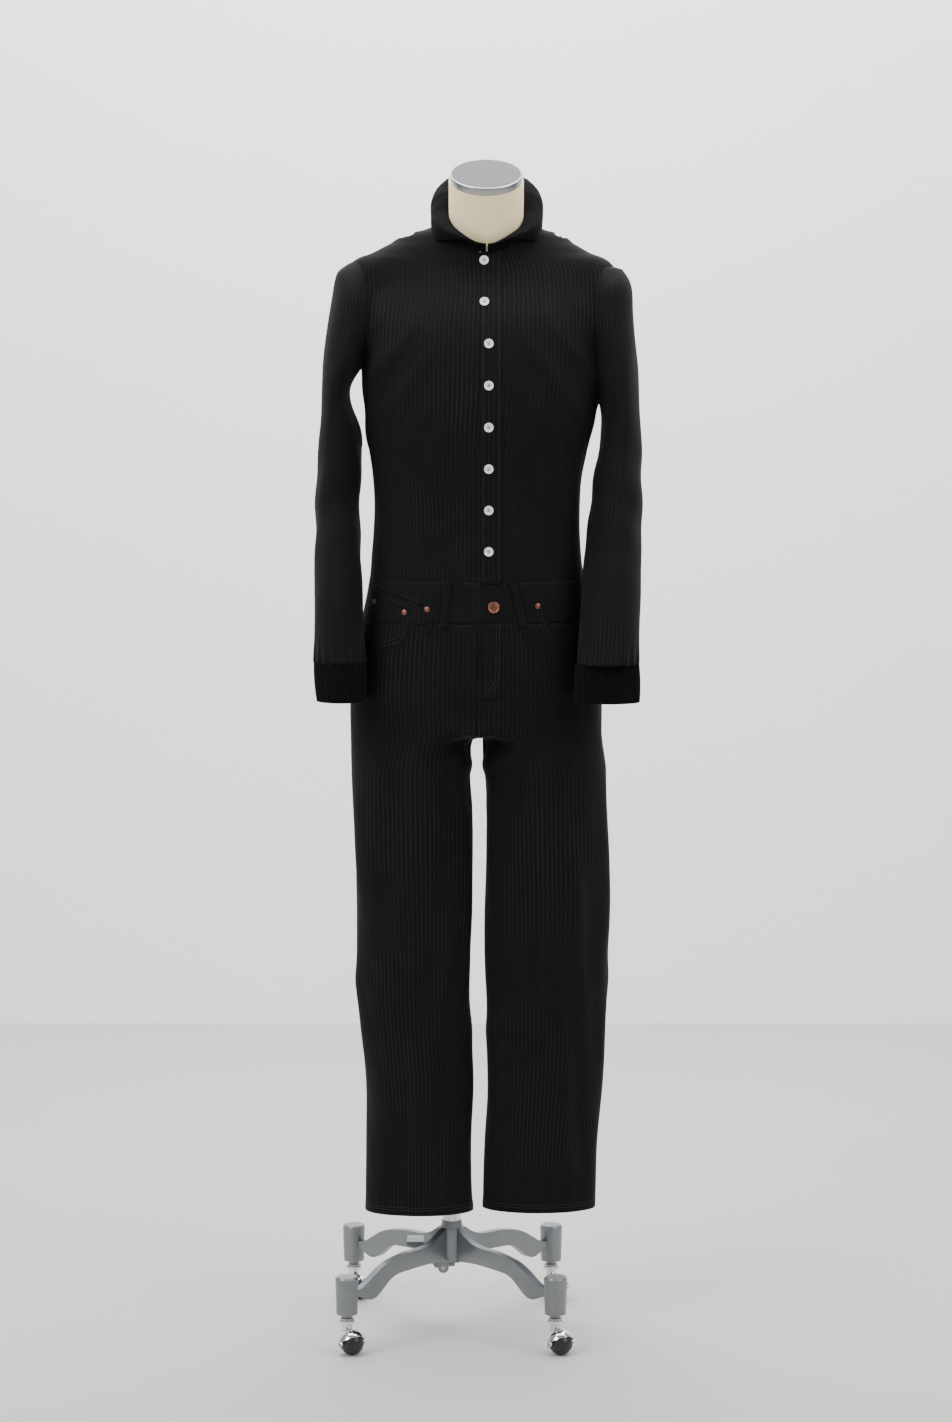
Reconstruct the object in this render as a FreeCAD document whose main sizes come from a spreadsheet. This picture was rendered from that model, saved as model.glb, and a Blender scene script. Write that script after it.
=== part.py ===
"""Dress form on a wheeled cast base, dressed in a pinstriped one-piece suit. Units are mm.

Frame: origin on the floor under the middle of the object, +Z up, the form faces -Y,
the wearer's right is at -X. The pole stands off centre, inside the wearer's right trouser leg.
"""
import FreeCAD
import Part
import os

doc = FreeCAD.newDocument("dress_form")
sheet = doc.addObject("Spreadsheet::Sheet", "Sizes")
row = [0]
node_objects = {}


def size(name, value):
    """Give one independent size its own named cell."""
    row[0] += 1
    sheet.set("A%d" % row[0], str(value))
    sheet.setAlias("A%d" % row[0], name)


def q(name):
    """The expression that reads a named size."""
    return "Sizes." + name


def bind(obj, **values):
    """Bind properties to expressions; px, py, pz place the object."""
    places = {"px": "Placement.Base.x", "py": "Placement.Base.y", "pz": "Placement.Base.z"}
    for key, expression in values.items():
        obj.setExpression(places.get(key, key), expression)
    return obj


def make(kind, name, **values):
    """Add one primitive with bound sizes and place."""
    return bind(doc.addObject("Part::" + kind, name), **values)


def turned(obj, axis, angle):
    """Turn a primitive about one axis by a bound or plain angle in degrees."""
    obj.Placement = FreeCAD.Placement(obj.Placement.Base, FreeCAD.Rotation(axis, 1))
    obj.setExpression("Placement.Rotation.Angle", angle)
    return obj


def cylinder(name, x, y, z, radius, height, **more):
    """Upright cylinder standing at (x, y, z)."""
    return make("Cylinder", name, px=x, py=y, pz=z, Radius=radius, Height=height, **more)


def box(name, x, y, z, wide, deep, high):
    """Box from its low corner."""
    return make("Box", name, px=x, py=y, pz=z, Length=wide, Width=deep, Height=high)


def cut(name, base, tool):
    """Base without the tool."""
    obj = doc.addObject("Part::Cut", name)
    obj.Base = base
    obj.Tool = tool
    return obj


def fuse(name, parts):
    """One solid out of several that meet."""
    obj = doc.addObject("Part::MultiFuse", name)
    obj.Shapes = parts
    return obj


def common(name, parts):
    """What several solids share."""
    obj = doc.addObject("Part::MultiCommon", name)
    obj.Shapes = parts
    return obj


def group(name, parts):
    """Identical small pieces kept in one node as separate solids."""
    obj = doc.addObject("Part::Compound", name)
    obj.Links = parts
    return obj


def node(name, obj):
    """Mark an object as a finished sub-part."""
    obj.Label = name
    node_objects[name] = obj
    return obj


# ---------------------------------------------------------------- sizes of the hard parts
size("pole_x", -45.5)
size("pole_y", 0)
size("post_spacing_x", 340)
size("post_spacing_y", 340)
size("post_top_radius", 19)
size("post_foot_radius", 17.5)
size("post_foot_z", 64)
size("post_height", 62)
size("post_rim", 3)
size("arm_side", 6.5)
size("hub_radius", 19.5)
size("hub_z", 108)
size("hub_height", 54)
size("hub_cone_height", 16)
size("column_radius", 15)
size("column_wall", 1.5)
size("column_z", 122)
size("column_height", 500)
size("run_clear", 0.05)
size("pole_radius", 12.5)
size("pole_wall", 1.6)
size("pole_foot_z", 255)
size("bush_height", 24)
size("bush_flange", 3.5)
size("bush_lip_radius", 18)
size("foot_bush_height", 40)
size("board_z", 1012)
size("board_thick", 18)
size("socket_wall", 4.5)
size("socket_length", 52)
size("flange_radius", 36)
size("flange_thick", 5)
size("flange_screw_circle", 27)
size("screw_radius", 2.2)
size("screw_length", 14)
size("screw_head_radius", 4.2)
size("screw_head_height", 2.2)
size("knob_stem_radius", 3)
size("knob_stem_length", 13)
size("knob_radius", 9)
size("knob_thick", 7)
size("neck_x", 11.5)
size("neck_y", -3)
size("neck_z", 1800)
size("neck_lean", 26)
size("neck_radius", 60.5)
size("neck_above", 109)
size("neck_below", 22)
size("cap_radius", 58.3)
size("cap_thick", 13)
size("cap_round", 2)
size("shell_wall", 4)

# ---------------------------------------------------------------- casters
size("ball_radius", 19.5)
size("ball_gap", 1.2)
size("hood_wall", 2)
size("hood_lean", 38)
size("trail_x", 8.5)
size("trail_y", -16)
size("trail_turn", 28)
size("wheel_half_width", 17.2)
size("axle_radius", 2.5)
size("ear_radius", 5)
size("ear_inner", 18.2)
size("axle_end", 1.4)
size("boss_radius", 8.5)
size("boss_z", 27)
size("race_radius", 14)
size("race_z", 49.5)
size("race_thick", 4.5)
size("race_gap", 0.3)
size("stem_flange_radius", 11.5)
size("stem_flange_thick", 3)
size("stem_radius", 5.5)
size("stem_length", 46)
size("spigot_radius", 4)
size("spigot_length", 15)
size("sleeve_radius", 8)
size("sleeve_gap", 0.3)
size("socket_depth", 50)

# ---------------------------------------------------------------- foot pedal
size("pin_z", 100)
size("pin_offset", 14)
size("heel_top", 3.5)
size("heel_width", 12)
size("pin_radius", 4)
size("pin_length", 44)
size("barrel_radius", 7)
size("barrel_length", 24)
size("lug_thick", 8)
size("lug_gap", 0.5)
size("lug_radius", 9)
size("lever_length", 33)
size("lever_width", 14)
size("lever_flat", 14)
size("lever_thick", 7)
size("lever_rise", 30)
size("tread_length", 28)
size("tread_width", 44)
size("tread_thick", 6)
size("rod_radius", 4)
size("rod_length", 420)
size("wedge_radius", 9)
size("wedge_height", 30)

# ---------------------------------------------------------------- cloth
size("cloth", 2)
size("ease", 0.6)
size("placket_thick", 1.4)
size("placket_x", 3)
size("placket_width", 33)
size("placket_foot_z", 1072)
size("placket_top_z", 1786)
size("trim_thick", 2.6)
size("button_radius", 7.6)
size("button_x", 15.5)
size("button_low_z", 1304)
size("button_pitch", 66.8)
size("jean_button_radius", 9.5)
size("jean_button_x", 23.5)
size("jean_button_z", 1214)
size("rivet_radius", 4.6)
size("waist_seam_z", 1186)
size("band_top_z", 1254)
size("hem_z", 203)
size("front_y", 0)
size("fork_x", -3)
size("cuff_seam_z", 1122)
size("cuff_foot_z", 1059)
size("collar_x", 14.5)
size("collar_y", -4)
size("collar_z", 1801)
size("collar_lean", 7)
size("collar_radius", 91)
size("collar_height", 103)
size("collar_fold", 26)
size("collar_top_radius", 68)
size("collar_cloth", 3.5)
size("collar_clear", 0.4)
size("loop_width", 11)
size("loop_height", 74)
size("loop_thick", 3.2)

# Stations are name, height, middle x, half width, middle y, half depth, all of the cloth's outside.
TRUNK = [
    ("fork", 1000, -5, 206, 6, 93),
    ("hip", 1050, -5, 206, 7, 105),
    ("seat", 1110, -4, 202.5, 8, 112),
    ("low_waist", 1190, -3.5, 188, 6, 112),
    ("band", 1250, -3, 177, 3, 106),
    ("waist", 1310, -3, 170, 1, 103),
    ("high_waist", 1370, -2.5, 168, 1, 104),
    ("rib", 1428, -3, 171.5, 2, 110),
    ("low_chest", 1487, -1, 182, 4, 118),
    ("chest", 1546, 3, 191.5, 6, 123),
    ("high_chest", 1620, 5, 197, 8, 122),
    ("upper", 1690, 7, 202, 10, 106),
    ("yoke", 1738, 8, 208, 10, 83),
    ("shoulder", 1762, 6, 210, 8, 73),
    ("slope", 1780, 4, 186, 5, 67),
    ("high_slope", 1800, 5, 148, 3, 64),
    ("neck_root", 1818, 8, 108, 3, 61),
    ("neck_seam", 1829, 10, 78, 3, 56),
]
LEG_RIGHT = [
    ("top", 1060, -105, 103, 6, 88),
    ("fork", 1000, -106, 105, 6, 87),
    ("crotch", 950, -112.5, 98.5, 6, 84),
    ("thigh", 886, -113, 98, 5, 82),
    ("low_thigh", 800, -112, 98, 4, 80),
    ("over_knee", 700, -109.5, 95.5, 2, 75),
    ("knee", 600, -108.5, 92, 1, 70),
    ("under_knee", 510, -106.5, 90, 0, 65),
    ("calf", 415, -101, 89, 0, 59),
    ("ankle", 300, -100, 87, 0, 54),
    ("hem", 203, -99.5, 89.5, 0, 51),
]
LEG_LEFT = [
    ("top", 1060, 97, 102, 6, 88),
    ("fork", 1000, 101.5, 104, 6, 87),
    ("crotch", 950, 108, 101.5, 6, 84),
    ("thigh", 886, 110.5, 100.5, 5, 82),
    ("low_thigh", 800, 111.5, 101.5, 4, 80),
    ("over_knee", 700, 112, 102, 2, 75),
    ("knee", 600, 112, 100.5, 1, 70),
    ("under_knee", 510, 111.5, 98.5, 0, 65),
    ("calf", 415, 108.5, 97, 0, 59),
    ("ankle", 300, 102.5, 93.5, 0, 54),
    ("hem", 203, 99.6, 93, 0, 51),
]
SLEEVE_RIGHT = [
    ("crown", 1765, -198, 14, 10, 22),
    ("dome", 1757, -203, 24, 10, 36),
    ("head", 1741, -205, 30, 10, 50),
    ("cap", 1700, -207, 36, 9, 64),
    ("bicep", 1640, -216, 35, 8, 70),
    ("pit", 1600, -225, 30, 6, 71),
    ("under_pit", 1566, -234, 23, 5, 70),
    ("high_arm", 1508, -230.5, 30, 3, 68),
    ("arm", 1465, -228, 34.5, 0, 66),
    ("elbow", 1384, -229.5, 36.5, -8, 62),
    ("forearm", 1286, -230, 38, -26, 57),
    ("low_arm", 1190, -229, 39.5, -48, 52),
    ("wrist", 1122, -227, 41.8, -64, 48.5),
]
SLEEVE_LEFT = [
    ("crown", 1758, 213, 20, 10, 32),
    ("head", 1741, 214.5, 30, 10, 50),
    ("cap", 1700, 213, 37, 9, 64),
    ("bicep", 1640, 218, 37, 8, 70),
    ("pit", 1590, 224, 36, 6, 71),
    ("under_pit", 1546, 229.5, 32, 5, 70),
    ("high_arm", 1508, 232, 32.2, 3, 68),
    ("arm", 1465, 230, 35.4, 0, 67),
    ("elbow", 1384, 224.5, 41, -14, 63),
    ("forearm", 1286, 217, 46, -44, 58),
    ("low_arm", 1190, 212, 49, -73, 56),
    ("wrist", 1122, 208.5, 49.5, -90, 55),
]
CUFF_RIGHT = [
    ("seam", 1122, -227, 42, -65, 47),
    ("rib", 1090, -225.8, 41, -68, 46.5),
    ("foot", 1059, -224.5, 39.7, -71, 46),
]
CUFF_LEFT = [
    ("seam", 1122, 208.5, 51, -88, 43),
    ("foot", 1059, 208.2, 52.3, -90, 41),
]


def stations(prefix, table):
    """Enter a station table into the sheet."""
    for name, z, x, half_width, y, half_depth in table:
        for key, value in (("z", z), ("x", x), ("wide", half_width), ("y", y), ("deep", half_depth)):
            size("%s_%s_%s" % (prefix, name, key), value)


def tube(name, prefix, table, grow, foot="0", top="0", heights=None):
    """Solid through a table's ellipses, each grown by an expression; its two ends can move in z."""
    sections = []
    for k, (station, z, x, half_width, y, half_depth) in enumerate(table):
        key = "Sizes.%s_%s_" % (prefix, station)
        end = top if k == 0 else foot if k == len(table) - 1 else "0"
        if table[0][1] < table[-1][1]:
            end = foot if k == 0 else top if k == len(table) - 1 else "0"
        wide, deep = (key + "wide + " + grow, key + "deep + " + grow)
        across = half_width > half_depth
        section = make("Ellipse", "%s_%s" % (name, station), px=key + "x", py=key + "y",
                       pz=key + "z + " + end, MajorRadius=wide if across else deep,
                       MinorRadius=deep if across else wide)
        if not across:
            turned(section, FreeCAD.Vector(0, 0, 1), "90")
        sections.append(section)
    loft = doc.addObject("Part::Loft", name)
    loft.Sections = sections
    loft.Solid = True
    return loft


for table_prefix, table_rows in (("trunk", TRUNK), ("leg_right", LEG_RIGHT), ("leg_left", LEG_LEFT),
                                 ("sleeve_right", SLEEVE_RIGHT), ("sleeve_left", SLEEVE_LEFT),
                                 ("cuff_right", CUFF_RIGHT), ("cuff_left", CUFF_LEFT)):
    stations(table_prefix, table_rows)

# ---------------------------------------------------------------- cast base
# Arm stations are name, distance out from the pole, middle height, half height.
ARM = [
    ("root", 8, 141, 28),
    ("rib", 24, 137, 26),
    ("neck", 50, 130.5, 17.5),
    ("crest", 86, 127.5, 14.5),
    ("back", 126, 125, 14),
    ("bend", 152, 117.5, 16),
    ("drop", 176, 103, 20),
    ("shelf", 200, 94.5, 13.5),
    ("end", 236, 93.5, 13.5),
]
for station, out, middle, half in ARM:
    size("arm_%s_out" % station, out)
    size("arm_%s_z" % station, middle)
    size("arm_%s_half" % station, half)
arm_sections = []
for station, out, middle, half in ARM:
    reach = "Sizes.arm_%s_out * " % station
    corner = "sqrt(Sizes.post_spacing_x ^ 2 + Sizes.post_spacing_y ^ 2)"
    section = make("Plane", "arm_" + station, Length="2 * Sizes.arm_%s_half" % station, Width="2 * Sizes.arm_side")
    section.setExpression("Placement", "placement(vector(Sizes.pole_x + %s Sizes.post_spacing_x / %s; Sizes.pole_y + "
                          "%s Sizes.post_spacing_y / %s; Sizes.arm_%s_z); rotation(45; 90; 0)) * placement(vector("
                          "-Sizes.arm_%s_half; -Sizes.arm_side; 0); rotation(0; 0; 0))"
                          % (reach, corner, reach, corner, station, station))
    arm_sections.append(section)
arm = doc.addObject("Part::Loft", "arm")
arm.Sections = arm_sections
arm.Solid = True
POST_X = "Sizes.pole_x + Sizes.post_spacing_x / 2"
POST_Y = "Sizes.pole_y + Sizes.post_spacing_y / 2"
post_cone = make("Cone", "post_cone", px=POST_X, py=POST_Y, pz=q("post_foot_z"), Radius1=q("post_foot_radius"),
                 Radius2=q("post_top_radius"), Height="Sizes.post_height - Sizes.post_rim")
post_rim = make("Cone", "post_rim", px=POST_X, py=POST_Y, Height=q("post_rim"), Radius1=q("post_top_radius"),
                Radius2="Sizes.post_top_radius - Sizes.post_rim * 0.8",
                pz="Sizes.post_foot_z + Sizes.post_height - Sizes.post_rim")
socket_bore = cylinder("socket_bore", POST_X, POST_Y, "Sizes.post_foot_z - 1", q("sleeve_radius"),
                       "Sizes.socket_depth + 1")
corner_arm = cut("corner_arm", fuse("corner_solid", [arm, post_cone, post_rim]), socket_bore)


def mirrored(name, source, normal):
    """Mirror image of a source across a plane through the pole's axis."""
    obj = doc.addObject("Part::Mirroring", name)
    obj.Source = source
    obj.Normal = normal
    obj.setExpression("Base.x", q("pole_x"))
    obj.setExpression("Base.y", q("pole_y"))
    return obj


arm_beside = mirrored("arm_beside", corner_arm, FreeCAD.Vector(1, 0, 0))
arm_pair = fuse("arm_pair", [corner_arm, arm_beside])
arm_pair_front = mirrored("arm_pair_front", arm_pair, FreeCAD.Vector(0, 1, 0))
hub = cylinder("hub", q("pole_x"), q("pole_y"), q("hub_z"), q("hub_radius"), q("hub_height"))
hub_cone = make("Cone", "hub_cone", px=q("pole_x"), py=q("pole_y"), pz="Sizes.hub_z + Sizes.hub_height",
                Radius1=q("hub_radius"), Radius2="Sizes.column_radius + 1.2", Height=q("hub_cone_height"))
PIN_X = "Sizes.pole_x - Sizes.pin_offset"
lugs = []
for side, sign in (("front", "-1"), ("rear", "1")):
    reach = "(Sizes.barrel_length / 2 + Sizes.lug_gap)"
    start = "Sizes.pole_y + %s * %s" % (sign, reach)
    if sign == "-1":
        start += " - Sizes.lug_thick"
    eye = make("Cylinder", "lug_eye_" + side, px=PIN_X, py=start + " + Sizes.lug_thick", pz=q("pin_z"),
               Radius=q("lug_radius"), Height=q("lug_thick"))
    turned(eye, FreeCAD.Vector(1, 0, 0), "90")
    web = box("lug_web_" + side, PIN_X + " - Sizes.lug_radius", start, q("pin_z"),
              "2 * Sizes.lug_radius", q("lug_thick"), "Sizes.hub_z - Sizes.pin_z + 6")
    lugs += [eye, web]
rod_bore = cylinder("rod_bore", q("pole_x"), q("pole_y"), "Sizes.hub_z - 12",
                    "Sizes.rod_radius + Sizes.run_clear", "60")
column_seat = cylinder("column_seat", q("pole_x"), q("pole_y"), q("column_z"), q("column_radius"),
                       "Sizes.hub_height + Sizes.hub_cone_height")
pin_bore = make("Cylinder", "pin_bore", px=PIN_X, py="Sizes.pole_y + 40", pz=q("pin_z"),
                Radius=q("pin_radius"), Height="80")
turned(pin_bore, FreeCAD.Vector(1, 0, 0), "90")
base_solid = fuse("base_solid", [arm_pair, arm_pair_front, hub, hub_cone] + lugs)
base_bored = cut("base_bored", base_solid, fuse("base_bores", [rod_bore, column_seat]))
base_casting = node("base_casting", cut("base_casting", base_bored, pin_bore))

column_outer = cylinder("column_outer", q("pole_x"), q("pole_y"), q("column_z"), q("column_radius"),
                        q("column_height"))
column_hollow = cylinder("column_hollow", q("pole_x"), q("pole_y"), "Sizes.column_z - 1",
                         "Sizes.column_radius - Sizes.column_wall", "Sizes.column_height + 2")
column_tube = node("column_tube", cut("column_tube", column_outer, column_hollow))

# The bush plugs the column's mouth and guides the pole; the pole's own foot bush guides it below.
COLUMN_TOP = "Sizes.column_z + Sizes.column_height"
bush_plug = cylinder("bush_plug", q("pole_x"), q("pole_y"), COLUMN_TOP + " - Sizes.bush_height",
                     "Sizes.column_radius - Sizes.column_wall", q("bush_height"))
bush_lip = cylinder("bush_lip", q("pole_x"), q("pole_y"), COLUMN_TOP, q("bush_lip_radius"), q("bush_flange"))
bush_hole = cylinder("bush_hole", q("pole_x"), q("pole_y"), COLUMN_TOP + " - Sizes.bush_height - 1",
                     "Sizes.pole_radius + Sizes.run_clear", "Sizes.bush_height + Sizes.bush_flange + 2")
node("guide_bush", cut("guide_bush", fuse("bush_solid", [bush_plug, bush_lip]), bush_hole))
POLE_TOP = "Sizes.board_z"
pole_outer = cylinder("pole_outer", q("pole_x"), q("pole_y"), q("pole_foot_z"), q("pole_radius"),
                      POLE_TOP + " - Sizes.pole_foot_z")
pole_hollow = cylinder("pole_hollow", q("pole_x"), q("pole_y"), "Sizes.pole_foot_z - 1",
                       "Sizes.pole_radius - Sizes.pole_wall", POLE_TOP + " - Sizes.pole_foot_z + 2")
node("pole_tube", cut("pole_tube", pole_outer, pole_hollow))
foot_ring = cylinder("foot_ring", q("pole_x"), q("pole_y"), q("pole_foot_z"),
                     "Sizes.column_radius - Sizes.column_wall - Sizes.run_clear", q("foot_bush_height"))
foot_hole = cylinder("foot_hole", q("pole_x"), q("pole_y"), "Sizes.pole_foot_z - 1", q("pole_radius"),
                     "Sizes.foot_bush_height + 2")
node("pole_foot_bush", cut("pole_foot_bush", foot_ring, foot_hole))

# ---------------------------------------------------------------- foot pedal, its pin and the release rod
barrel = make("Cylinder", "barrel", px=PIN_X, py="Sizes.pole_y + Sizes.barrel_length / 2", pz=q("pin_z"),
              Radius=q("barrel_radius"), Height=q("barrel_length"))
turned(barrel, FreeCAD.Vector(1, 0, 0), "90")
lever_body = doc.addObject("PartDesign::Body", "lever_body")
lever_sketch = lever_body.newObject("Sketcher::SketchObject", "lever_side")
for plane in lever_body.Origin.OriginFeatures:
    if plane.Role == "XZ_Plane":
        lever_sketch.AttachmentSupport = (plane, "")
lever_sketch.MapMode = "FlatFace"
LEVER = [("0", "-Sizes.lever_thick / 2"), ("-Sizes.lever_flat", "-Sizes.lever_thick / 2"),
         ("-Sizes.lever_length", "Sizes.lever_rise - Sizes.lever_thick / 2"),
         ("-Sizes.lever_length - Sizes.tread_length", "Sizes.lever_rise + Sizes.tread_thick"),
         ("-Sizes.lever_length - Sizes.tread_length", "Sizes.lever_rise + 2 * Sizes.tread_thick"),
         ("-Sizes.lever_length", "Sizes.lever_rise + Sizes.lever_thick"),
         ("-Sizes.lever_flat + Sizes.lever_thick / 2", "Sizes.lever_thick / 2"), ("0", "Sizes.lever_thick / 2")]
LEVER_START = [(0, -3.5), (-14, -3.5), (-33, 26.5), (-61, 36), (-61, 42), (-33, 37), (-10.5, 3.5), (0, 3.5)]
for k, start in enumerate(LEVER_START):
    end = LEVER_START[(k + 1) % len(LEVER_START)]
    lever_sketch.addGeometry(Part.LineSegment(FreeCAD.Vector(start[0], start[1], 0),
                                              FreeCAD.Vector(end[0], end[1], 0)), False)
import Sketcher
for k in range(len(LEVER)):
    lever_sketch.addConstraint(Sketcher.Constraint("Coincident", k, 2, (k + 1) % len(LEVER), 1))
for k, (x_expression, y_expression) in enumerate(LEVER):
    cx = lever_sketch.addConstraint(Sketcher.Constraint("DistanceX", -1, 1, k, 1, LEVER_START[k][0]))
    cy = lever_sketch.addConstraint(Sketcher.Constraint("DistanceY", -1, 1, k, 1, LEVER_START[k][1]))
    lever_sketch.setExpression("Constraints[%d]" % cx, x_expression)
    lever_sketch.setExpression("Constraints[%d]" % cy, y_expression)
lever_pad = lever_body.newObject("PartDesign::Pad", "lever_pad")
lever_pad.Profile = lever_sketch
lever_pad.setExpression("Length", q("lever_width"))
lever_pad.Midplane = True
lever_body.Tip = lever_pad
bind(lever_body, px=PIN_X, py=q("pole_y"), pz=q("pin_z"))
tread = box("tread", PIN_X + " - Sizes.lever_length - Sizes.tread_length", "Sizes.pole_y - Sizes.tread_width / 2",
            "Sizes.pin_z + Sizes.lever_rise + 1.5 * Sizes.tread_thick", q("tread_length"), q("tread_width"),
            q("tread_thick"))
heel = box("heel", PIN_X, "Sizes.pole_y - Sizes.heel_width / 2", "Sizes.pin_z - 1",
           "Sizes.pin_offset + Sizes.rod_radius + 1", q("heel_width"), "Sizes.heel_top + 1")
pedal_solid = fuse("pedal_solid", [barrel, lever_body, tread, heel])
pedal_hole = make("Cylinder", "pedal_hole", px=PIN_X, py="Sizes.pole_y + 30", pz=q("pin_z"),
                  Radius="Sizes.pin_radius + Sizes.run_clear", Height="60")
turned(pedal_hole, FreeCAD.Vector(1, 0, 0), "90")
node("foot_pedal", cut("foot_pedal", pedal_solid, pedal_hole))
pedal_pin = make("Cylinder", "pedal_pin", px=PIN_X, py="Sizes.pole_y + Sizes.pin_length / 2", pz=q("pin_z"),
                 Radius=q("pin_radius"), Height=q("pin_length"))
node("pedal_pin", turned(pedal_pin, FreeCAD.Vector(1, 0, 0), "90"))
ROD_Z = "Sizes.pin_z + Sizes.heel_top + Sizes.lug_gap"
rod = cylinder("rod", q("pole_x"), q("pole_y"), ROD_Z, q("rod_radius"), q("rod_length"))
wedge = make("Cone", "wedge", px=q("pole_x"), py=q("pole_y"), pz=ROD_Z + " + Sizes.rod_length - Sizes.wedge_height",
             Radius1=q("rod_radius"), Radius2=q("wedge_radius"), Height=q("wedge_height"))
node("release_rod", fuse("release_rod", [rod, wedge]))

# ---------------------------------------------------------------- ball casters
RACE_TOP = "Sizes.race_z + Sizes.race_thick"
CORNERS = (("front_right", "-1", "-1"), ("front_left", "1", "-1"), ("rear_right", "-1", "1"),
           ("rear_left", "1", "1"))
sleeves = []
for corner_name, sx, sy in CORNERS:
    px = "Sizes.pole_x + %s * Sizes.post_spacing_x / 2" % sx
    py = "Sizes.pole_y + %s * Sizes.post_spacing_y / 2" % sy
    bx = px + " + Sizes.trail_x"
    by = py + " + Sizes.trail_y"
    tag = "_" + corner_name
    sleeve_z = RACE_TOP + " + Sizes.race_gap + Sizes.stem_flange_thick + Sizes.sleeve_gap"
    sleeve_out = cylinder("sleeve_out" + tag, px, py, sleeve_z, q("sleeve_radius"),
                          "Sizes.post_foot_z + Sizes.socket_depth - (%s)" % sleeve_z)
    sleeve_in = cylinder("sleeve_in" + tag, px, py, "Sizes.race_z", q("stem_radius"),
                         "Sizes.post_foot_z + Sizes.socket_depth - Sizes.race_z + 1")
    sleeves.append(cut("sleeve" + tag, sleeve_out, sleeve_in))
    spigot = cylinder("spigot" + tag, px, py, RACE_TOP + " + Sizes.race_gap - Sizes.spigot_length",
                      q("spigot_radius"), q("spigot_length"))
    flange = cylinder("flange" + tag, px, py, RACE_TOP + " + Sizes.race_gap", q("stem_flange_radius"),
                      q("stem_flange_thick"))
    shank = cylinder("shank" + tag, px, py, RACE_TOP + " + Sizes.race_gap", q("stem_radius"),
                     "Sizes.stem_length + Sizes.stem_flange_thick")
    node("stem" + tag, fuse("stem" + tag, [spigot, flange, shank]))
    ball_place = {"px": bx, "py": by, "pz": q("ball_radius")}
    dome = make("Sphere", "dome" + tag, Radius="Sizes.ball_radius + Sizes.ball_gap + Sizes.hood_wall", **ball_place)
    hollow = make("Sphere", "hollow" + tag, Radius="Sizes.ball_radius + Sizes.ball_gap", **ball_place)
    # The skirt plane holds the axle line and rises towards the trailing side, so that side stays open.
    below = make("Box", "below" + tag, Length="80", Width="80", Height="60")
    below.Placement = FreeCAD.Placement(FreeCAD.Vector(0, 0, 0), FreeCAD.Rotation(28, 0, -38))
    tilt = "0 - Sizes.hood_lean"
    turn = "Sizes.trail_turn"
    below.setExpression("Placement", "placement(vector(%s; %s; %s); rotation(%s; 0; %s)) * "
                        "placement(vector(-40; -40; -60); rotation(0; 0; 0))" % (bx, by, q("ball_radius"), turn, tilt))
    skirt = cut("skirt" + tag, dome, below)
    boss = cylinder("boss" + tag, px, py, q("boss_z"), q("boss_radius"), "Sizes.race_z - Sizes.boss_z")
    race = cylinder("race" + tag, px, py, q("race_z"), q("race_radius"), q("race_thick"))
    ears = []
    for ear_side, sign in (("a", "1"), ("b", "-1")):
        ear = make("Cylinder", "ear_%s%s" % (ear_side, tag), Radius=q("ear_radius"),
                   Height="Sizes.ball_radius + Sizes.ball_gap + Sizes.hood_wall - Sizes.ear_inner")
        start = "Sizes.ear_inner"
        if sign == "-1":
            start = "-Sizes.ball_radius - Sizes.ball_gap - Sizes.hood_wall"
        ear.setExpression("Placement", "placement(vector(%s; %s; %s); rotation(%s; 0; 0)) * "
                          "placement(vector(%s; 0; 0); rotation(0; 90; 0))" % (bx, by, q("ball_radius"), turn, start))
        ears.append(ear)
    race_bore = cylinder("race_bore" + tag, px, py, RACE_TOP + " - Sizes.spigot_length",
                         "Sizes.spigot_radius + Sizes.run_clear", "Sizes.spigot_length + 1")
    boss_cut = cut("boss_cut" + tag, boss, make("Sphere", "boss_hollow" + tag,
                                                Radius="Sizes.ball_radius + Sizes.ball_gap", **ball_place))
    skirt_cut = cut("skirt_cut" + tag, skirt, hollow)
    axle_hole = make("Cylinder", "axle_hole" + tag, Radius=q("axle_radius"), Height="80")
    axle_hole.setExpression("Placement", "placement(vector(%s; %s; %s); rotation(%s; 0; 0)) * "
                            "placement(vector(-40; 0; 0); rotation(0; 90; 0))" % (bx, by, q("ball_radius"), turn))
    hood_solid = fuse("hood_solid" + tag, [skirt_cut, boss_cut, race] + ears)
    hood_bores = fuse("hood_bores" + tag, [axle_hole, race_bore])
    node("hood" + tag, cut("hood" + tag, hood_solid, hood_bores))
    half = "(Sizes.ball_radius + Sizes.ball_gap + Sizes.hood_wall + Sizes.axle_end)"
    axle = make("Cylinder", "axle" + tag, Radius=q("axle_radius"), Height="2 * " + half)
    axle.setExpression("Placement", "placement(vector(%s; %s; %s); rotation(%s; 0; 0)) * placement(vector(-%s; 0; 0); "
                       "rotation(0; 90; 0))" % (bx, by, q("ball_radius"), turn, half))
    node("axle" + tag, axle)
    ball = make("Sphere", "ball" + tag, Radius=q("ball_radius"))
    ball.setExpression("Placement", "placement(vector(%s; %s; %s); rotation(%s; 0; 0)) * placement(vector("
                       "0; 0; 0); rotation(0; 90; 0))" % (bx, by, q("ball_radius"), turn))
    slab = make("Box", "slab" + tag, Length="2 * Sizes.wheel_half_width", Width="60", Height="60")
    slab.setExpression("Placement", "placement(vector(%s; %s; %s); rotation(%s; 0; 0)) * placement(vector("
                       "-Sizes.wheel_half_width; -30; -30); rotation(0; 0; 0))" % (bx, by, q("ball_radius"), turn))
    wheel_bore = make("Cylinder", "wheel_bore" + tag, Radius="Sizes.axle_radius + Sizes.run_clear", Height="80")
    wheel_bore.setExpression("Placement", "placement(vector(%s; %s; %s); rotation(%s; 0; 0)) * placement(vector("
                             "-40; 0; 0); rotation(0; 90; 0))" % (bx, by, q("ball_radius"), turn))
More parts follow.
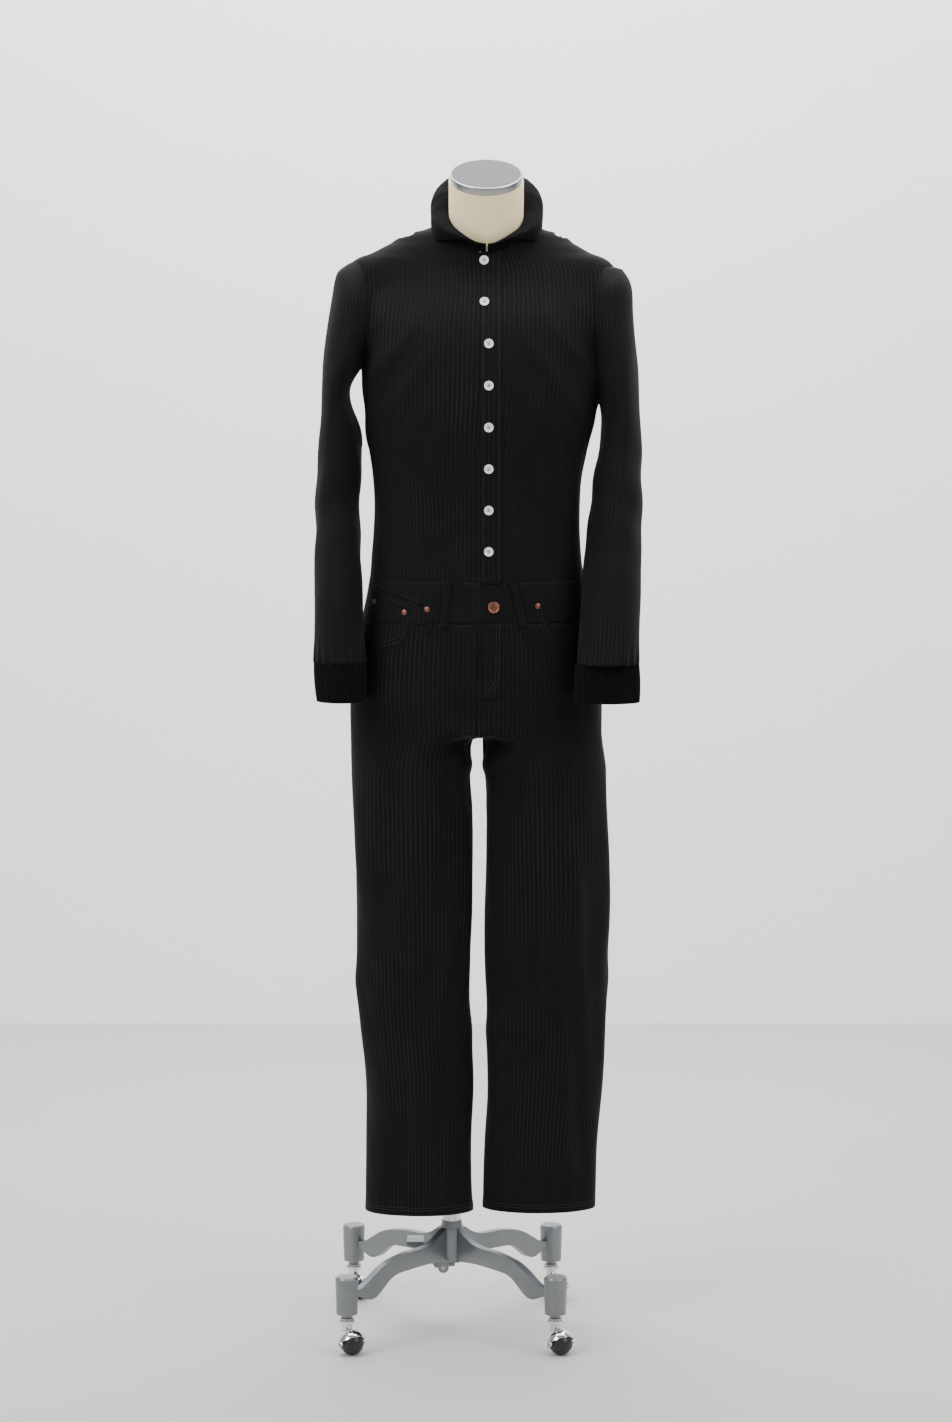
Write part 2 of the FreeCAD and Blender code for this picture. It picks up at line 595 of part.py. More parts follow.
    node("wheel" + tag, cut("wheel" + tag, common("wheel_solid" + tag, [ball, slab]), wheel_bore))
node("socket_sleeves", group("socket_sleeves", sleeves))

# ---------------------------------------------------------------- trunk: cloth, hard shell, board
trunk_out = tube("trunk_out", "trunk", TRUNK, "0")
trunk_in = tube("trunk_in", "trunk", TRUNK, "0 - Sizes.cloth", foot="Sizes.cloth", top="-Sizes.cloth")
SHELL_GROW = "0 - Sizes.cloth - Sizes.ease"
shell_out = tube("shell_out", "trunk", TRUNK, SHELL_GROW, foot="Sizes.cloth", top="-Sizes.cloth - Sizes.ease")
shell_in = tube("shell_in", "trunk", TRUNK, SHELL_GROW + " - Sizes.shell_wall", foot="Sizes.cloth",
                top="-Sizes.cloth - Sizes.ease - Sizes.shell_wall")
TALL = "1400"
above_board = box("above_board", "-400", "-400", q("board_z"), "800", "800", TALL)
shell_wall = cut("shell_wall_solid", shell_out, shell_in)
node("torso_shell", common("torso_shell", [shell_wall, above_board]))
board_slab = box("board_slab", "-400", "-400", q("board_z"), "800", "800", q("board_thick"))
board_plate = common("board_plate", [shell_in, board_slab])
screw_points = (("a", "1", "0"), ("b", "0", "1"), ("c", "-1", "0"), ("d", "0", "-1"))
pilot_holes = []
screw_solids = []
flange_holes = []
for label, sx, sy in screw_points:
    sxx = "Sizes.pole_x + %s * Sizes.flange_screw_circle" % sx
    syy = "Sizes.pole_y + %s * Sizes.flange_screw_circle" % sy
    foot_z = "Sizes.board_z - Sizes.flange_thick"
    pilot_holes.append(cylinder("pilot_" + label, sxx, syy, "Sizes.board_z - 1", q("screw_radius"),
                                "Sizes.screw_length - Sizes.flange_thick + 1"))
    flange_holes.append(cylinder("flange_hole_" + label, sxx, syy, foot_z + " - 1", q("screw_radius"),
                                 "Sizes.flange_thick + 2"))
    shank = cylinder("screw_shank_" + label, sxx, syy, foot_z, q("screw_radius"), q("screw_length"))
    head = cylinder("screw_head_" + label, sxx, syy, foot_z + " - Sizes.screw_head_height",
                    q("screw_head_radius"), q("screw_head_height"))
    screw_solids.append(fuse("screw_" + label, [shank, head]))
node("base_board", cut("base_board", board_plate, fuse("pilots", pilot_holes)))
node("flange_screws", group("flange_screws", screw_solids))
SOCKET_R = "Sizes.pole_radius + Sizes.run_clear + Sizes.socket_wall"
flange_disc = cylinder("flange_disc", q("pole_x"), q("pole_y"), "Sizes.board_z - Sizes.flange_thick",
                       q("flange_radius"), q("flange_thick"))
socket_tube = cylinder("socket_tube", q("pole_x"), q("pole_y"), "Sizes.board_z - Sizes.flange_thick - Sizes.socket_length",
                       SOCKET_R, "Sizes.socket_length + 1")
socket_hole = cylinder("socket_hole", q("pole_x"), q("pole_y"), "Sizes.board_z - Sizes.flange_thick - Sizes.socket_length - 1",
                       "Sizes.pole_radius + Sizes.run_clear", "Sizes.socket_length + Sizes.flange_thick + 2")
KNOB_Z = "Sizes.board_z - Sizes.flange_thick - Sizes.socket_length / 2"
knob_hole = make("Cylinder", "knob_hole", px="Sizes.pole_x - 60", py=q("pole_y"), pz=KNOB_Z,
                 Radius=q("knob_stem_radius"), Height="60")
turned(knob_hole, FreeCAD.Vector(0, 1, 0), "90")
flange_solid = fuse("flange_solid", [flange_disc, socket_tube])
node("pole_socket", cut("pole_socket", flange_solid, fuse("flange_bores", [socket_hole, knob_hole] + flange_holes)))
knob_stem = make("Cylinder", "knob_stem", pz=KNOB_Z, py=q("pole_y"), Radius=q("knob_stem_radius"),
                 px="Sizes.pole_x - Sizes.pole_radius - 0.3 - Sizes.knob_stem_length", Height=q("knob_stem_length"))
turned(knob_stem, FreeCAD.Vector(0, 1, 0), "90")
knob_head = make("Cylinder", "knob_head", pz=KNOB_Z, py=q("pole_y"), Radius=q("knob_radius"),
                 px="Sizes.pole_x - Sizes.pole_radius - 0.3 - Sizes.knob_stem_length - Sizes.knob_thick + 1",
                 Height=q("knob_thick"))
turned(knob_head, FreeCAD.Vector(0, 1, 0), "90")
node("clamp_knob", fuse("clamp_knob", [knob_stem, knob_head]))

# ---------------------------------------------------------------- neck and cap, leaning forwards
def neck_cylinder(name, radius, start, height):
    """Cylinder on the neck's leaning axis."""
    obj = make("Cylinder", name, Radius=radius, Height=height)
    obj.setExpression("Placement", "placement(vector(Sizes.neck_x; Sizes.neck_y; Sizes.neck_z); "
                      "rotation(0; 0; Sizes.neck_lean)) * placement(vector(0; 0; %s); rotation(0; 0; 0))" % start)
    return obj


neck_round = neck_cylinder("neck_round", q("neck_radius"), "0 - Sizes.neck_below",
                           "Sizes.neck_below + Sizes.neck_above")
neck_high = box("neck_high", "-200", "-300", "Sizes.neck_z - 45", "400", "600", "400")
neck_top = common("neck_top", [neck_round, neck_high])
node("neck_block", cut("neck_block", neck_top, shell_out))
cap_disc = neck_cylinder("cap_disc", q("cap_radius"), "Sizes.neck_above", "Sizes.cap_thick - Sizes.cap_round")
cap_edge = make("Cone", "cap_edge", Radius1=q("cap_radius"), Radius2="Sizes.cap_radius - Sizes.cap_round",
                Height=q("cap_round"))
cap_edge.setExpression("Placement", "placement(vector(Sizes.neck_x; Sizes.neck_y; Sizes.neck_z); rotation(0; 0; "
                       "Sizes.neck_lean)) * placement(vector(0; 0; Sizes.neck_above + Sizes.cap_thick - "
                       "Sizes.cap_round); rotation(0; 0; 0))")
node("neck_cap", fuse("neck_cap", [cap_disc, cap_edge]))

# ---------------------------------------------------------------- sleeves and cuffs
sleeve_holes = []
for side, table, cuff_table in (("right", SLEEVE_RIGHT, CUFF_RIGHT), ("left", SLEEVE_LEFT, CUFF_LEFT)):
    prefix = "sleeve_" + side
    outside = tube(prefix + "_out", prefix, table, "0")
    inside = tube(prefix + "_in", prefix, table, "0 - Sizes.cloth", foot="-3", top="-Sizes.cloth")
    sleeve_holes.append(inside)
    node(prefix, cut(prefix, cut(prefix + "_cloth", outside, inside), trunk_out))
    cuff_out = tube("cuff_out_" + side, "cuff_" + side, cuff_table, "0")
    cuff_in = tube("cuff_in_" + side, "cuff_" + side, cuff_table, "0 - Sizes.cloth * 1.3", foot="-3", top="3")
    node("cuff_" + side, cut("cuff_" + side, cuff_out, cuff_in))

# ---------------------------------------------------------------- bodice, waistband, trousers
neck_opening = neck_cylinder("neck_opening", "Sizes.neck_radius + Sizes.ease", "0 - Sizes.neck_below",
                             "Sizes.neck_below + Sizes.neck_above + 80")
trunk_cloth = cut("trunk_cloth", trunk_out, trunk_in)
above_band = box("above_band", "-400", "-400", q("band_top_z"), "800", "800", TALL)
bodice_ring = common("bodice_ring", [trunk_cloth, above_band])
bodice_open = cut("bodice_open", bodice_ring, fuse("bodice_holes", [neck_opening] + sleeve_holes))
front_right = box("front_right_zone", "-400", "-400", "900", "400 + Sizes.placket_x", "400 + Sizes.front_y", TALL)
front_left = box("front_left_zone", q("placket_x"), "-400", "900", "400", "400 + Sizes.front_y", TALL)
back_zone = box("back_zone", "-400", q("front_y"), "900", "800", "400", TALL)
node("bodice_front_right", common("bodice_front_right", [bodice_open, front_right]))
node("bodice_front_left", common("bodice_front_left", [bodice_open, front_left]))
node("bodice_back", common("bodice_back", [bodice_open, back_zone]))
band_zone = box("band_zone", "-400", "-400", q("waist_seam_z"), "800", "800", "Sizes.band_top_z - Sizes.waist_seam_z")
node("waistband", common("waistband", [trunk_cloth, band_zone]))
legs_out = [trunk_out]
legs_in = [tube("trousers_in", "trunk", TRUNK, "0 - Sizes.cloth", foot="Sizes.cloth", top="-Sizes.cloth")]
for side, table in (("right", LEG_RIGHT), ("left", LEG_LEFT)):
    legs_out.append(tube("leg_out_" + side, "leg_" + side, table, "0"))
    legs_in.append(tube("leg_in_" + side, "leg_" + side, table, "0 - Sizes.cloth", foot="-6"))
trousers = cut("trousers", fuse("trousers_solid", legs_out), fuse("trousers_hollow", legs_in))
for side, x, wide in (("right", "-400", "400 + Sizes.fork_x"), ("left", q("fork_x"), "400")):
    for face, y, deep in (("front", "-400", "400 + Sizes.front_y"), ("back", q("front_y"), "400")):
        name = "leg_%s_%s" % (face, side)
        zone = box(name + "_zone", x, y, "100", wide, deep, "Sizes.waist_seam_z - 100")
        node(name, common(name, [trousers, zone]))

# ---------------------------------------------------------------- collar
def collar_round(kind, name, start, **values):
    """Round solid on the collar's own slightly leaning axis."""
    obj = make(kind, name, **values)
    obj.setExpression("Placement", "placement(vector(Sizes.collar_x; Sizes.collar_y; Sizes.collar_z); "
                      "rotation(0; 0; Sizes.collar_lean)) * placement(vector(0; 0; %s); rotation(0; 0; 0))" % start)
    return obj


WALL_H = "Sizes.collar_height - Sizes.collar_fold"
leaf = collar_round("Cylinder", "collar_leaf", "0", Radius=q("collar_radius"), Height=WALL_H)
roll = collar_round("Cone", "collar_roll", WALL_H, Radius1=q("collar_radius"), Radius2=q("collar_top_radius"),
                    Height=q("collar_fold"))
cavity_round = collar_round("Cylinder", "collar_cavity_round", "-1", Radius="Sizes.collar_radius - Sizes.collar_cloth",
                            Height=WALL_H + " + 1 - Sizes.collar_cloth")
stand_out = neck_cylinder("stand_out", "Sizes.neck_radius + Sizes.ease + Sizes.collar_cloth", "-60", "260")
cavity = cut("collar_cavity", cavity_round, stand_out)
collar_whole = cut("collar_whole", fuse("collar_outside", [leaf, roll]), cavity)
collar_neck = neck_cylinder("collar_neck", "Sizes.neck_radius + Sizes.ease", "0 - Sizes.neck_below", "300")
size("throat_x", 11.5)
size("throat_half_width", 60)
size("throat_depth", 104)
throat = make("Ellipse", "throat", px=q("throat_x"), py="-260", pz="Sizes.collar_z + 106",
              MajorRadius=q("throat_depth"), MinorRadius=q("throat_half_width"))
throat.Placement = FreeCAD.Placement(throat.Placement.Base, FreeCAD.Rotation(FreeCAD.Vector(0, 1, 0), 90).multiply(
    FreeCAD.Rotation(FreeCAD.Vector(1, 0, 0), 90)))
throat_prism = doc.addObject("Part::Extrusion", "throat_prism")
throat_prism.Base = throat
throat_prism.DirMode = "Custom"
throat_prism.Dir = FreeCAD.Vector(0, 1, 0)
throat_prism.setExpression("LengthFwd", "260 + Sizes.collar_y")
throat_prism.Solid = True
collar_bored = cut("collar_bored", collar_whole, fuse("collar_holes", [collar_neck, throat_prism]))
trunk_clear = tube("trunk_clear", "trunk", TRUNK, "Sizes.collar_clear", top="Sizes.collar_clear")
node("collar", cut("collar", collar_bored, trunk_clear))

# ---------------------------------------------------------------- placket, buttons, rivets, belt loops
placket_out = tube("placket_out", "trunk", TRUNK, "Sizes.placket_thick")
placket_zone = box("placket_zone", q("placket_x"), "-400", q("placket_foot_z"), q("placket_width"), "400",
                   "Sizes.placket_top_z - Sizes.placket_foot_z")
placket_strip = common("placket_strip", [cut("placket_layer", placket_out, trunk_out), placket_zone])
node("placket", cut("placket", placket_strip, neck_cylinder("placket_neck", "Sizes.neck_radius + Sizes.ease", "0 - Sizes.neck_below", "300")))


def trims(name, points, radius, layer):
    """Round trims standing on the cloth at (x, z) points of the front, following its curve."""
    solids = []
    for k, (x, z) in enumerate(points):
        peg = make("Cylinder", "%s_peg_%d" % (name, k), px=x, py="-40", pz=z, Radius=radius, Height="200")
        turned(peg, FreeCAD.Vector(1, 0, 0), "90")
        solids.append(common("%s_%d" % (name, k), [layer, peg]))
    return solids


button_points = [(q("button_x"), "Sizes.button_low_z + %d * Sizes.button_pitch" % k) for k in range(8)]
button_out = tube("button_out", "trunk", TRUNK, "Sizes.placket_thick + Sizes.trim_thick")
button_layer = cut("button_layer", button_out, placket_out)
node("shirt_buttons", group("shirt_buttons", trims("button", button_points, q("button_radius"), button_layer)))
jean = trims("jean", [(q("jean_button_x"), q("jean_button_z"))], q("jean_button_radius"), button_layer)
node("jean_button", jean[0])
loop_layer = cut("loop_layer", tube("loop_out", "trunk", TRUNK, q("loop_thick")), trunk_out)
RIVETS = [("a", -170.5, 1218), ("b", -121.5, 1204), ("c", -84, 1210), ("d", 95, 1215)]
for label, x, z in RIVETS:
    size("rivet_%s_x" % label, x)
    size("rivet_%s_z" % label, z)
rivet_points = [("Sizes.rivet_%s_x" % label, "Sizes.rivet_%s_z" % label) for label, x, z in RIVETS]
node("rivets", group("rivets", trims("rivet", rivet_points, q("rivet_radius"), loop_layer)))
LOOPS = [("front_right", -55, -1), ("front_left", 64, -1), ("back_right", -75, 1), ("back_mid", -3, 1),
         ("back_left", 70, 1)]
loops = []
for label, x, side in LOOPS:
    size("loop_%s_x" % label, x)
    start = "-400" if side < 0 else "20"
    zone = box("loop_zone_" + label, "Sizes.loop_%s_x - Sizes.loop_width / 2" % label, start,
               "Sizes.band_top_z - Sizes.loop_height", q("loop_width"), "380", q("loop_height"))
    loops.append(common("loop_" + label, [loop_layer, zone]))
node("belt_loops", group("belt_loops", loops))

doc.recompute()
problems = []
for obj in doc.Objects:
    if "Invalid" in obj.State or "Error" in obj.State:
        problems.append("%s %s" % (obj.Name, obj.State))
for name, obj in node_objects.items():
    if obj.Shape.isNull() or not obj.Shape.isValid() or not obj.Shape.Solids:
        problems.append("%s has no valid solid" % name)
if problems:
    raise RuntimeError("; ".join(problems))
os.makedirs("parts", exist_ok=True)
for name, obj in node_objects.items():
    obj.Shape.exportStep("parts/%s.step" % name)
    print(name, len(obj.Shape.Solids), round(obj.Shape.Volume))
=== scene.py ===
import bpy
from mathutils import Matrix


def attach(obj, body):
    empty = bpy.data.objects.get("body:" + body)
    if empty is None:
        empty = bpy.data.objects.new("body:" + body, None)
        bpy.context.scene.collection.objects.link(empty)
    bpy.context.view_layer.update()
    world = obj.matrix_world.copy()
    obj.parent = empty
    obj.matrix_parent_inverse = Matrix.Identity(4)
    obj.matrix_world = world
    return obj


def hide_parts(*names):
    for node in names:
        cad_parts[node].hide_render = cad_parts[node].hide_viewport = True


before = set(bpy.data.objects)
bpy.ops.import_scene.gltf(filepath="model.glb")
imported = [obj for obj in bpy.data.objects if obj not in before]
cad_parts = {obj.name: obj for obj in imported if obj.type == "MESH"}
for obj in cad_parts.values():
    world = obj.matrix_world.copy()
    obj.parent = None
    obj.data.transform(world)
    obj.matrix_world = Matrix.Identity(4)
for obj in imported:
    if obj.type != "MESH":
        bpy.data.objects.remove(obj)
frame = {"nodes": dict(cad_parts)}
"""Looks of the dress form: camera, light, finishes and the soft pieces of the suit, over the CAD frame.

Sizes in the tables are millimetres in the frame of the part; meshes are made in metres.
"""
import logging
import math
from dataclasses import dataclass, field
from enum import Enum
from typing import Dict, List, Optional, Sequence, Tuple

import bmesh
import bpy
import numpy as np
from mathutils import Matrix, Vector
from mathutils.bvhtree import BVHTree

logging.basicConfig(level=logging.INFO, format="%(levelname)s %(message)s")
LOG = logging.getLogger("dress_form")
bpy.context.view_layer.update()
MM = 0.001
TURN = 2 * math.pi
Station = Tuple[float, float, float, float, float]
Place = Tuple[float, float, float]
Line = Sequence[Tuple[float, float]]
Array = np.ndarray
Piece = bpy.types.Object
Node = bpy.types.Node
Output = Tuple[bpy.types.Node, object]


# ------------------------------------------------------------------ camera
@dataclass(frozen=True)
class Viewpoint:
    """Where the camera stands, in metres and degrees."""

    lens_mm: float = 90.73
    sensor_mm: float = 36.0
    place: Place = (-0.005, -5.88, 1.666)
    pitch_down: float = 6.13

    def build(self) -> Piece:
        """Make the camera the scene renders from.

        Returns:
            The camera object.
        """
        data = bpy.data.cameras.new("camera")
        data.lens = self.lens_mm
        data.sensor_width = self.sensor_mm
        data.dof.use_dof = False
        data.clip_end = 100.0
        cam = bpy.data.objects.new("camera", data)
        cam.location = self.place
        cam.rotation_euler = (math.radians(90.0 - self.pitch_down), 0.0, 0.0)
        bpy.context.scene.collection.objects.link(cam)
        bpy.context.scene.camera = cam
        return cam


# ------------------------------------------------------------------ colours and node helpers
def srgb(code: str) -> Tuple[float, float, float, float]:
    """Turn an sRGB hex code into the linear colour that shaders use.

    Args:
        code: Six hex digits, with or without a hash.

    Returns:
        Linear red, green, blue and alpha.
    """
    code = code.lstrip("#")
    parts = [int(code[i:i + 2], 16) / 255.0 for i in (0, 2, 4)]
    lin = [c / 12.92 if c <= 0.04045 else ((c + 0.055) / 1.055) ** 2.4 for c in parts]
    return (lin[0], lin[1], lin[2], 1.0)


class Shader:
    """A thin builder round one material's node tree."""

    def __init__(self, name: str) -> None:
        """Start a material with an empty tree, a Principled shader and an output.

        Args:
            name: The material's name.
        """
        self.material = bpy.data.materials.new(name)
        self.material.use_nodes = True
        self.tree = self.material.node_tree
        self.tree.nodes.clear()
        self.out = self.add("ShaderNodeOutputMaterial")
        self.bsdf = self.add("ShaderNodeBsdfPrincipled")
        self.link(self.bsdf, "BSDF", self.out, "Surface")

    def add(self, kind: str, **values: object) -> Node:
        """Add a node and set its properties or input defaults by name, with underscores for spaces."""
        node = self.tree.nodes.new(kind)
        for key, value in values.items():
            if hasattr(node, key):
                setattr(node, key, value)
            else:
                node.inputs[key.replace("_", " ")].default_value = value
        return node

    def link(self, a: Node, out: object, b: Node, into: object) -> None:
        """Join one node's output to another's input."""
        self.tree.links.new(a.outputs[out], b.inputs[into])

    def set(self, **values: object) -> None:
        """Set Principled inputs by name, with underscores for spaces."""
        for key, value in values.items():
            self.bsdf.inputs[key.replace("_", " ")].default_value = value

    def math(self, op: str, a: Output, b: float = 0.0) -> Node:
        """Add a math node reading one output and one constant."""
        node = self.add("ShaderNodeMath", operation=op)
        self.link(*a, node, 0)
        node.inputs[1].default_value = b
        return node

    def product(self, a: Output, b: Output) -> Node:
        """Multiply two outputs."""
        node = self.add("ShaderNodeMath", operation="MULTIPLY")
        self.link(*a, node, 0)
        self.link(*b, node, 1)
        return node

    def noise(self, scale: float, detail: float = 4.0, coord: str = "Object") -> Node:
        """Add noise over object or UV coordinates in metres."""
        where = self.add("ShaderNodeTexCoord")
        node = self.add("ShaderNodeTexNoise", Scale=scale, Detail=detail)
        self.link(where, coord, node, "Vector")
        return node

    def uv_across(self, scale: float) -> Node:
        """Scale the coordinate across the cloth, in metres."""
        split = self.add("ShaderNodeSeparateXYZ")
        self.link(self.add("ShaderNodeTexCoord"), "UV", split, "Vector")
        return self.math("MULTIPLY", (split, "X"), scale)

    def ramp(self, source: Output, low: float, high: float, a: object, b: object) -> Node:
        """Add a map from a value range onto two numbers or two colours."""
        if isinstance(a, tuple):
            node = self.add("ShaderNodeValToRGB")
            for element, position, colour in zip(node.color_ramp.elements, (low, high), (a, b)):
                element.position, element.color = position, colour
            self.link(*source, node, "Fac")
            return node
        node = self.add("ShaderNodeMapRange", From_Min=low, From_Max=high, To_Min=a, To_Max=b)
        self.link(*source, node, "Value")
        return node

    def tint(self, source: Output, low: float, high: float, dark: object, light: object) -> None:
        """Colour the surface between two colours by a value."""
        self.link(self.ramp(source, low, high, dark, light), "Color", self.bsdf, "Base Color")

    def dull(self, source: Output, low: float, high: float, smooth_end: float, rough_end: float) -> None:
        """Vary the roughness between two ends by a value."""
        self.link(self.ramp(source, low, high, smooth_end, rough_end), "Result", self.bsdf, "Roughness")

    def bump(self, source: Output, strength: float, distance: float) -> None:
        """Feed a height into the shader's normal."""
        node = self.add("ShaderNodeBump", Strength=strength, Distance=distance)
        self.link(*source, node, "Height")
        self.link(node, "Normal", self.bsdf, "Normal")


# ------------------------------------------------------------------ finishes
@dataclass(frozen=True)
class PinstripeCloth:
    """Yarn-dyed brushed cotton: almost black, with fine broken grey stripes that follow the warp."""

    name: str = "pinstripe_cotton_twill_woven"
    ground: str = "0a0a0b"
    stripe: str = "1e1f21"
    pitch_mm: float = 7.3
    stripe_share: float = 0.17
    weave_mm: float = 0.9
    brushed: str = "0d0d0e"
    sheen: str = "7c7e82"

    def build(self) -> bpy.types.Material:
        """Make the material; the eye sees matt dark cloth with faint light lines and a soft edge sheen."""
        s = Shader(self.name)
        phase = s.math("FRACT", (s.uv_across(1.0 / (self.pitch_mm * MM)), 0))
        distance = s.math("ABSOLUTE", (s.math("SUBTRACT", (phase, 0), 0.5), 0))
        line = s.ramp((distance, 0), self.stripe_share * 0.35, self.stripe_share, 1.0, 0.0)
        # The dyed yarn shows in dashes, and brushing has worn it away in patches.
        dash = s.ramp((s.noise(420.0, 2.0, "UV"), 0), 0.3, 0.62, 0.35, 1.0)
        worn = s.ramp((s.noise(7.0, 2.0), 0), 0.36, 0.62, 0.25, 1.0)
        stripe = s.product((s.product((line, "Result"), (dash, "Result")), 0), (worn, "Result"))
        ground = s.ramp((s.noise(9.0, 3.0), 0), 0.35, 0.7, srgb(self.ground), srgb(self.brushed))
        mix = s.add("ShaderNodeMix", data_type="RGBA")
        factor, below, above, mixed = 0, 6, 7, 2
        s.link(stripe, 0, mix, factor)
        s.link(ground, "Color", mix, below)
        mix.inputs[above].default_value = srgb(self.stripe)
        s.link(mix, mixed, s.bsdf, "Base Color")
        s.set(Roughness=0.86, Sheen_Weight=0.12, Sheen_Roughness=0.45, Sheen_Tint=srgb(self.sheen),
              Specular_IOR_Level=0.14)
        # Wave textures repeat about 3.2 times over each unit of their scale.
        twill = s.add("ShaderNodeTexWave", bands_direction="DIAGONAL", Scale=1.0 / (self.weave_mm * MM) / 3.2,
                      Distortion=0.6)
        s.link(s.add("ShaderNodeTexCoord"), "UV", twill, "Vector")
        s.bump((twill, 0), 0.25, 0.0004)
        return s.material


@dataclass(frozen=True)
class RibKnit:
    """Plain black rib knit: deeper and duller than the woven cloth, with fine upright ribs; its colour has painted
    shade in the rib valleys and a painted highlight on the crests.
    """

    name: str = "black_rib_knit"
    rib_valley_painted_shade: str = "070708"
    ridge: str = "101011"
    sheen: str = "6d6f74"
    rib_mm: float = 2.6

    def build(self) -> bpy.types.Material:
        """Make the material; soft matt black with upright ribs, painted darker in their valleys as shade and lighter
        on their crests as highlight.
        """
        s = Shader(self.name)
        rib = s.math("SINE", (s.uv_across(TURN / (self.rib_mm * MM)), 0))
        s.bump((rib, 0), 0.5, 0.0006)
        # Painted shade and painted highlight: the colour runs from the darker valley tone to the lighter ridge tone
        # with the same sine as the rib bump.
        s.tint((rib, 0), 0.0, 1.0, srgb(self.rib_valley_painted_shade), srgb(self.ridge))
        s.set(Roughness=0.95, Sheen_Weight=0.08, Sheen_Roughness=0.5, Sheen_Tint=srgb(self.sheen),
              Specular_IOR_Level=0.1)
        return s.material


@dataclass(frozen=True)
class Plain:
    """A finish with one colour, a roughness range from slow noise and an optional fine bump."""

    name: str
    colour: str
    rough: Tuple[float, float]
    metal: float = 0.0
    noise_scale: float = 60.0
    bump_scale: float = 0.0
    bump_mm: float = 0.0
    coat: float = 0.0
    spread: float = 0.08

    def build(self) -> bpy.types.Material:
        """Make the material with slightly uneven colour and gloss."""
        s = Shader(self.name)
        patch = (s.noise(self.noise_scale), 0)
        base = srgb(self.colour)
        dark = tuple(c * (1.0 - self.spread) for c in base[:3]) + (1.0,)
        light = tuple(min(1.0, c * (1.0 + self.spread)) for c in base[:3]) + (1.0,)
        s.tint(patch, 0.3, 0.7, dark, light)
        s.dull(patch, 0.3, 0.7, *self.rough)
        s.set(Metallic=self.metal, Coat_Weight=self.coat)
        if self.bump_mm:
            s.bump((s.noise(self.bump_scale, 3.0), 0), 0.4, self.bump_mm * MM)
        return s.material


@dataclass(frozen=True)
class BrushedDisc:
    """Steel brushed in one direction: long fine scratches stretch the highlight across the cap."""

    name: str = "steel_brushed_one_way"
    groove: str = "464645"
    crest: str = "595958"
    per_metre: Place = (6.0, 900.0, 900.0)

    def build(self) -> bpy.types.Material:
        """Make the material; scratches run left to right."""
        s = Shader(self.name)
        stretch = s.add("ShaderNodeMapping", Scale=self.per_metre)
        s.link(s.add("ShaderNodeTexCoord"), "Object", stretch, "Vector")
        lines = s.add("ShaderNodeTexNoise", Scale=1.0, Detail=5.0)
        s.link(stretch, "Vector", lines, "Vector")
        s.tint((lines, 0), 0.3, 0.7, srgb(self.groove), srgb(self.crest))
        s.dull((lines, 0), 0.3, 0.7, 0.42, 0.58)
        s.set(Metallic=1.0)
        s.bump((lines, 0), 0.15, 0.0001)
        return s.material


class Finish(Enum):
    """Every finish on the object."""

    CLOTH = PinstripeCloth()
    RIB = RibKnit()
    THREAD = Plain("polyester_thread_dark_grey", "252628", (0.6, 0.75))
    WHITE_BUTTON = Plain("white_polyester_button_turned", "e9e9e6", (0.18, 0.3), coat=0.3, spread=0.03)
    COPPER = Plain("aged_copper_rivet_stamped", "8a5f50", (0.35, 0.55), metal=1.0, spread=0.2)
    NECK = Plain("cream_jersey_stretched_over_shell", "ffebbd", (0.72, 0.85), bump_scale=1400.0, bump_mm=0.12,
                 spread=0.02)
    CAP_FACE = BrushedDisc()
    CAP_RIM = Plain("steel_polished_rim", "a2a4a6", (0.12, 0.2), metal=1.0, spread=0.04)
    CAST = Plain("cast_aluminium_silver_sprayed", "7f8286", (0.3, 0.42), metal=0.85, bump_scale=260.0, bump_mm=0.25,
                 spread=0.06)
    TUBE = Plain("steel_tube_chromed", "c9cbce", (0.08, 0.14), metal=1.0, spread=0.03)
    ZINC = Plain("steel_zinc_plated", "a9acb0", (0.3, 0.4), metal=1.0)
    CHROME = Plain("caster_hood_chromed", "d6d8db", (0.05, 0.12), metal=1.0, spread=0.03)
    BALL = Plain("black_nylon_ball_moulded", "141415", (0.3, 0.45), coat=0.1)
    GUIDE = Plain("black_nylon_bush_moulded", "17181a", (0.5, 0.6))
    BOARD = Plain("birch_board_sanded", "b99a6b", (0.6, 0.75), noise_scale=25.0)
    WALL = Plain("studio_wall_painted", "f6f8f9", (0.9, 0.95), noise_scale=3.0, spread=0.005)
    FLOOR = Plain("studio_floor_matt", "c4c2bd", (0.85, 0.9), noise_scale=3.0, spread=0.01)


MATERIALS: Dict[Finish, bpy.types.Material] = {}


def finish(kind: Finish) -> bpy.types.Material:
    """Return the finish's material, made once."""
    if kind not in MATERIALS:
        MATERIALS[kind] = kind.value.build()
    return MATERIALS[kind]


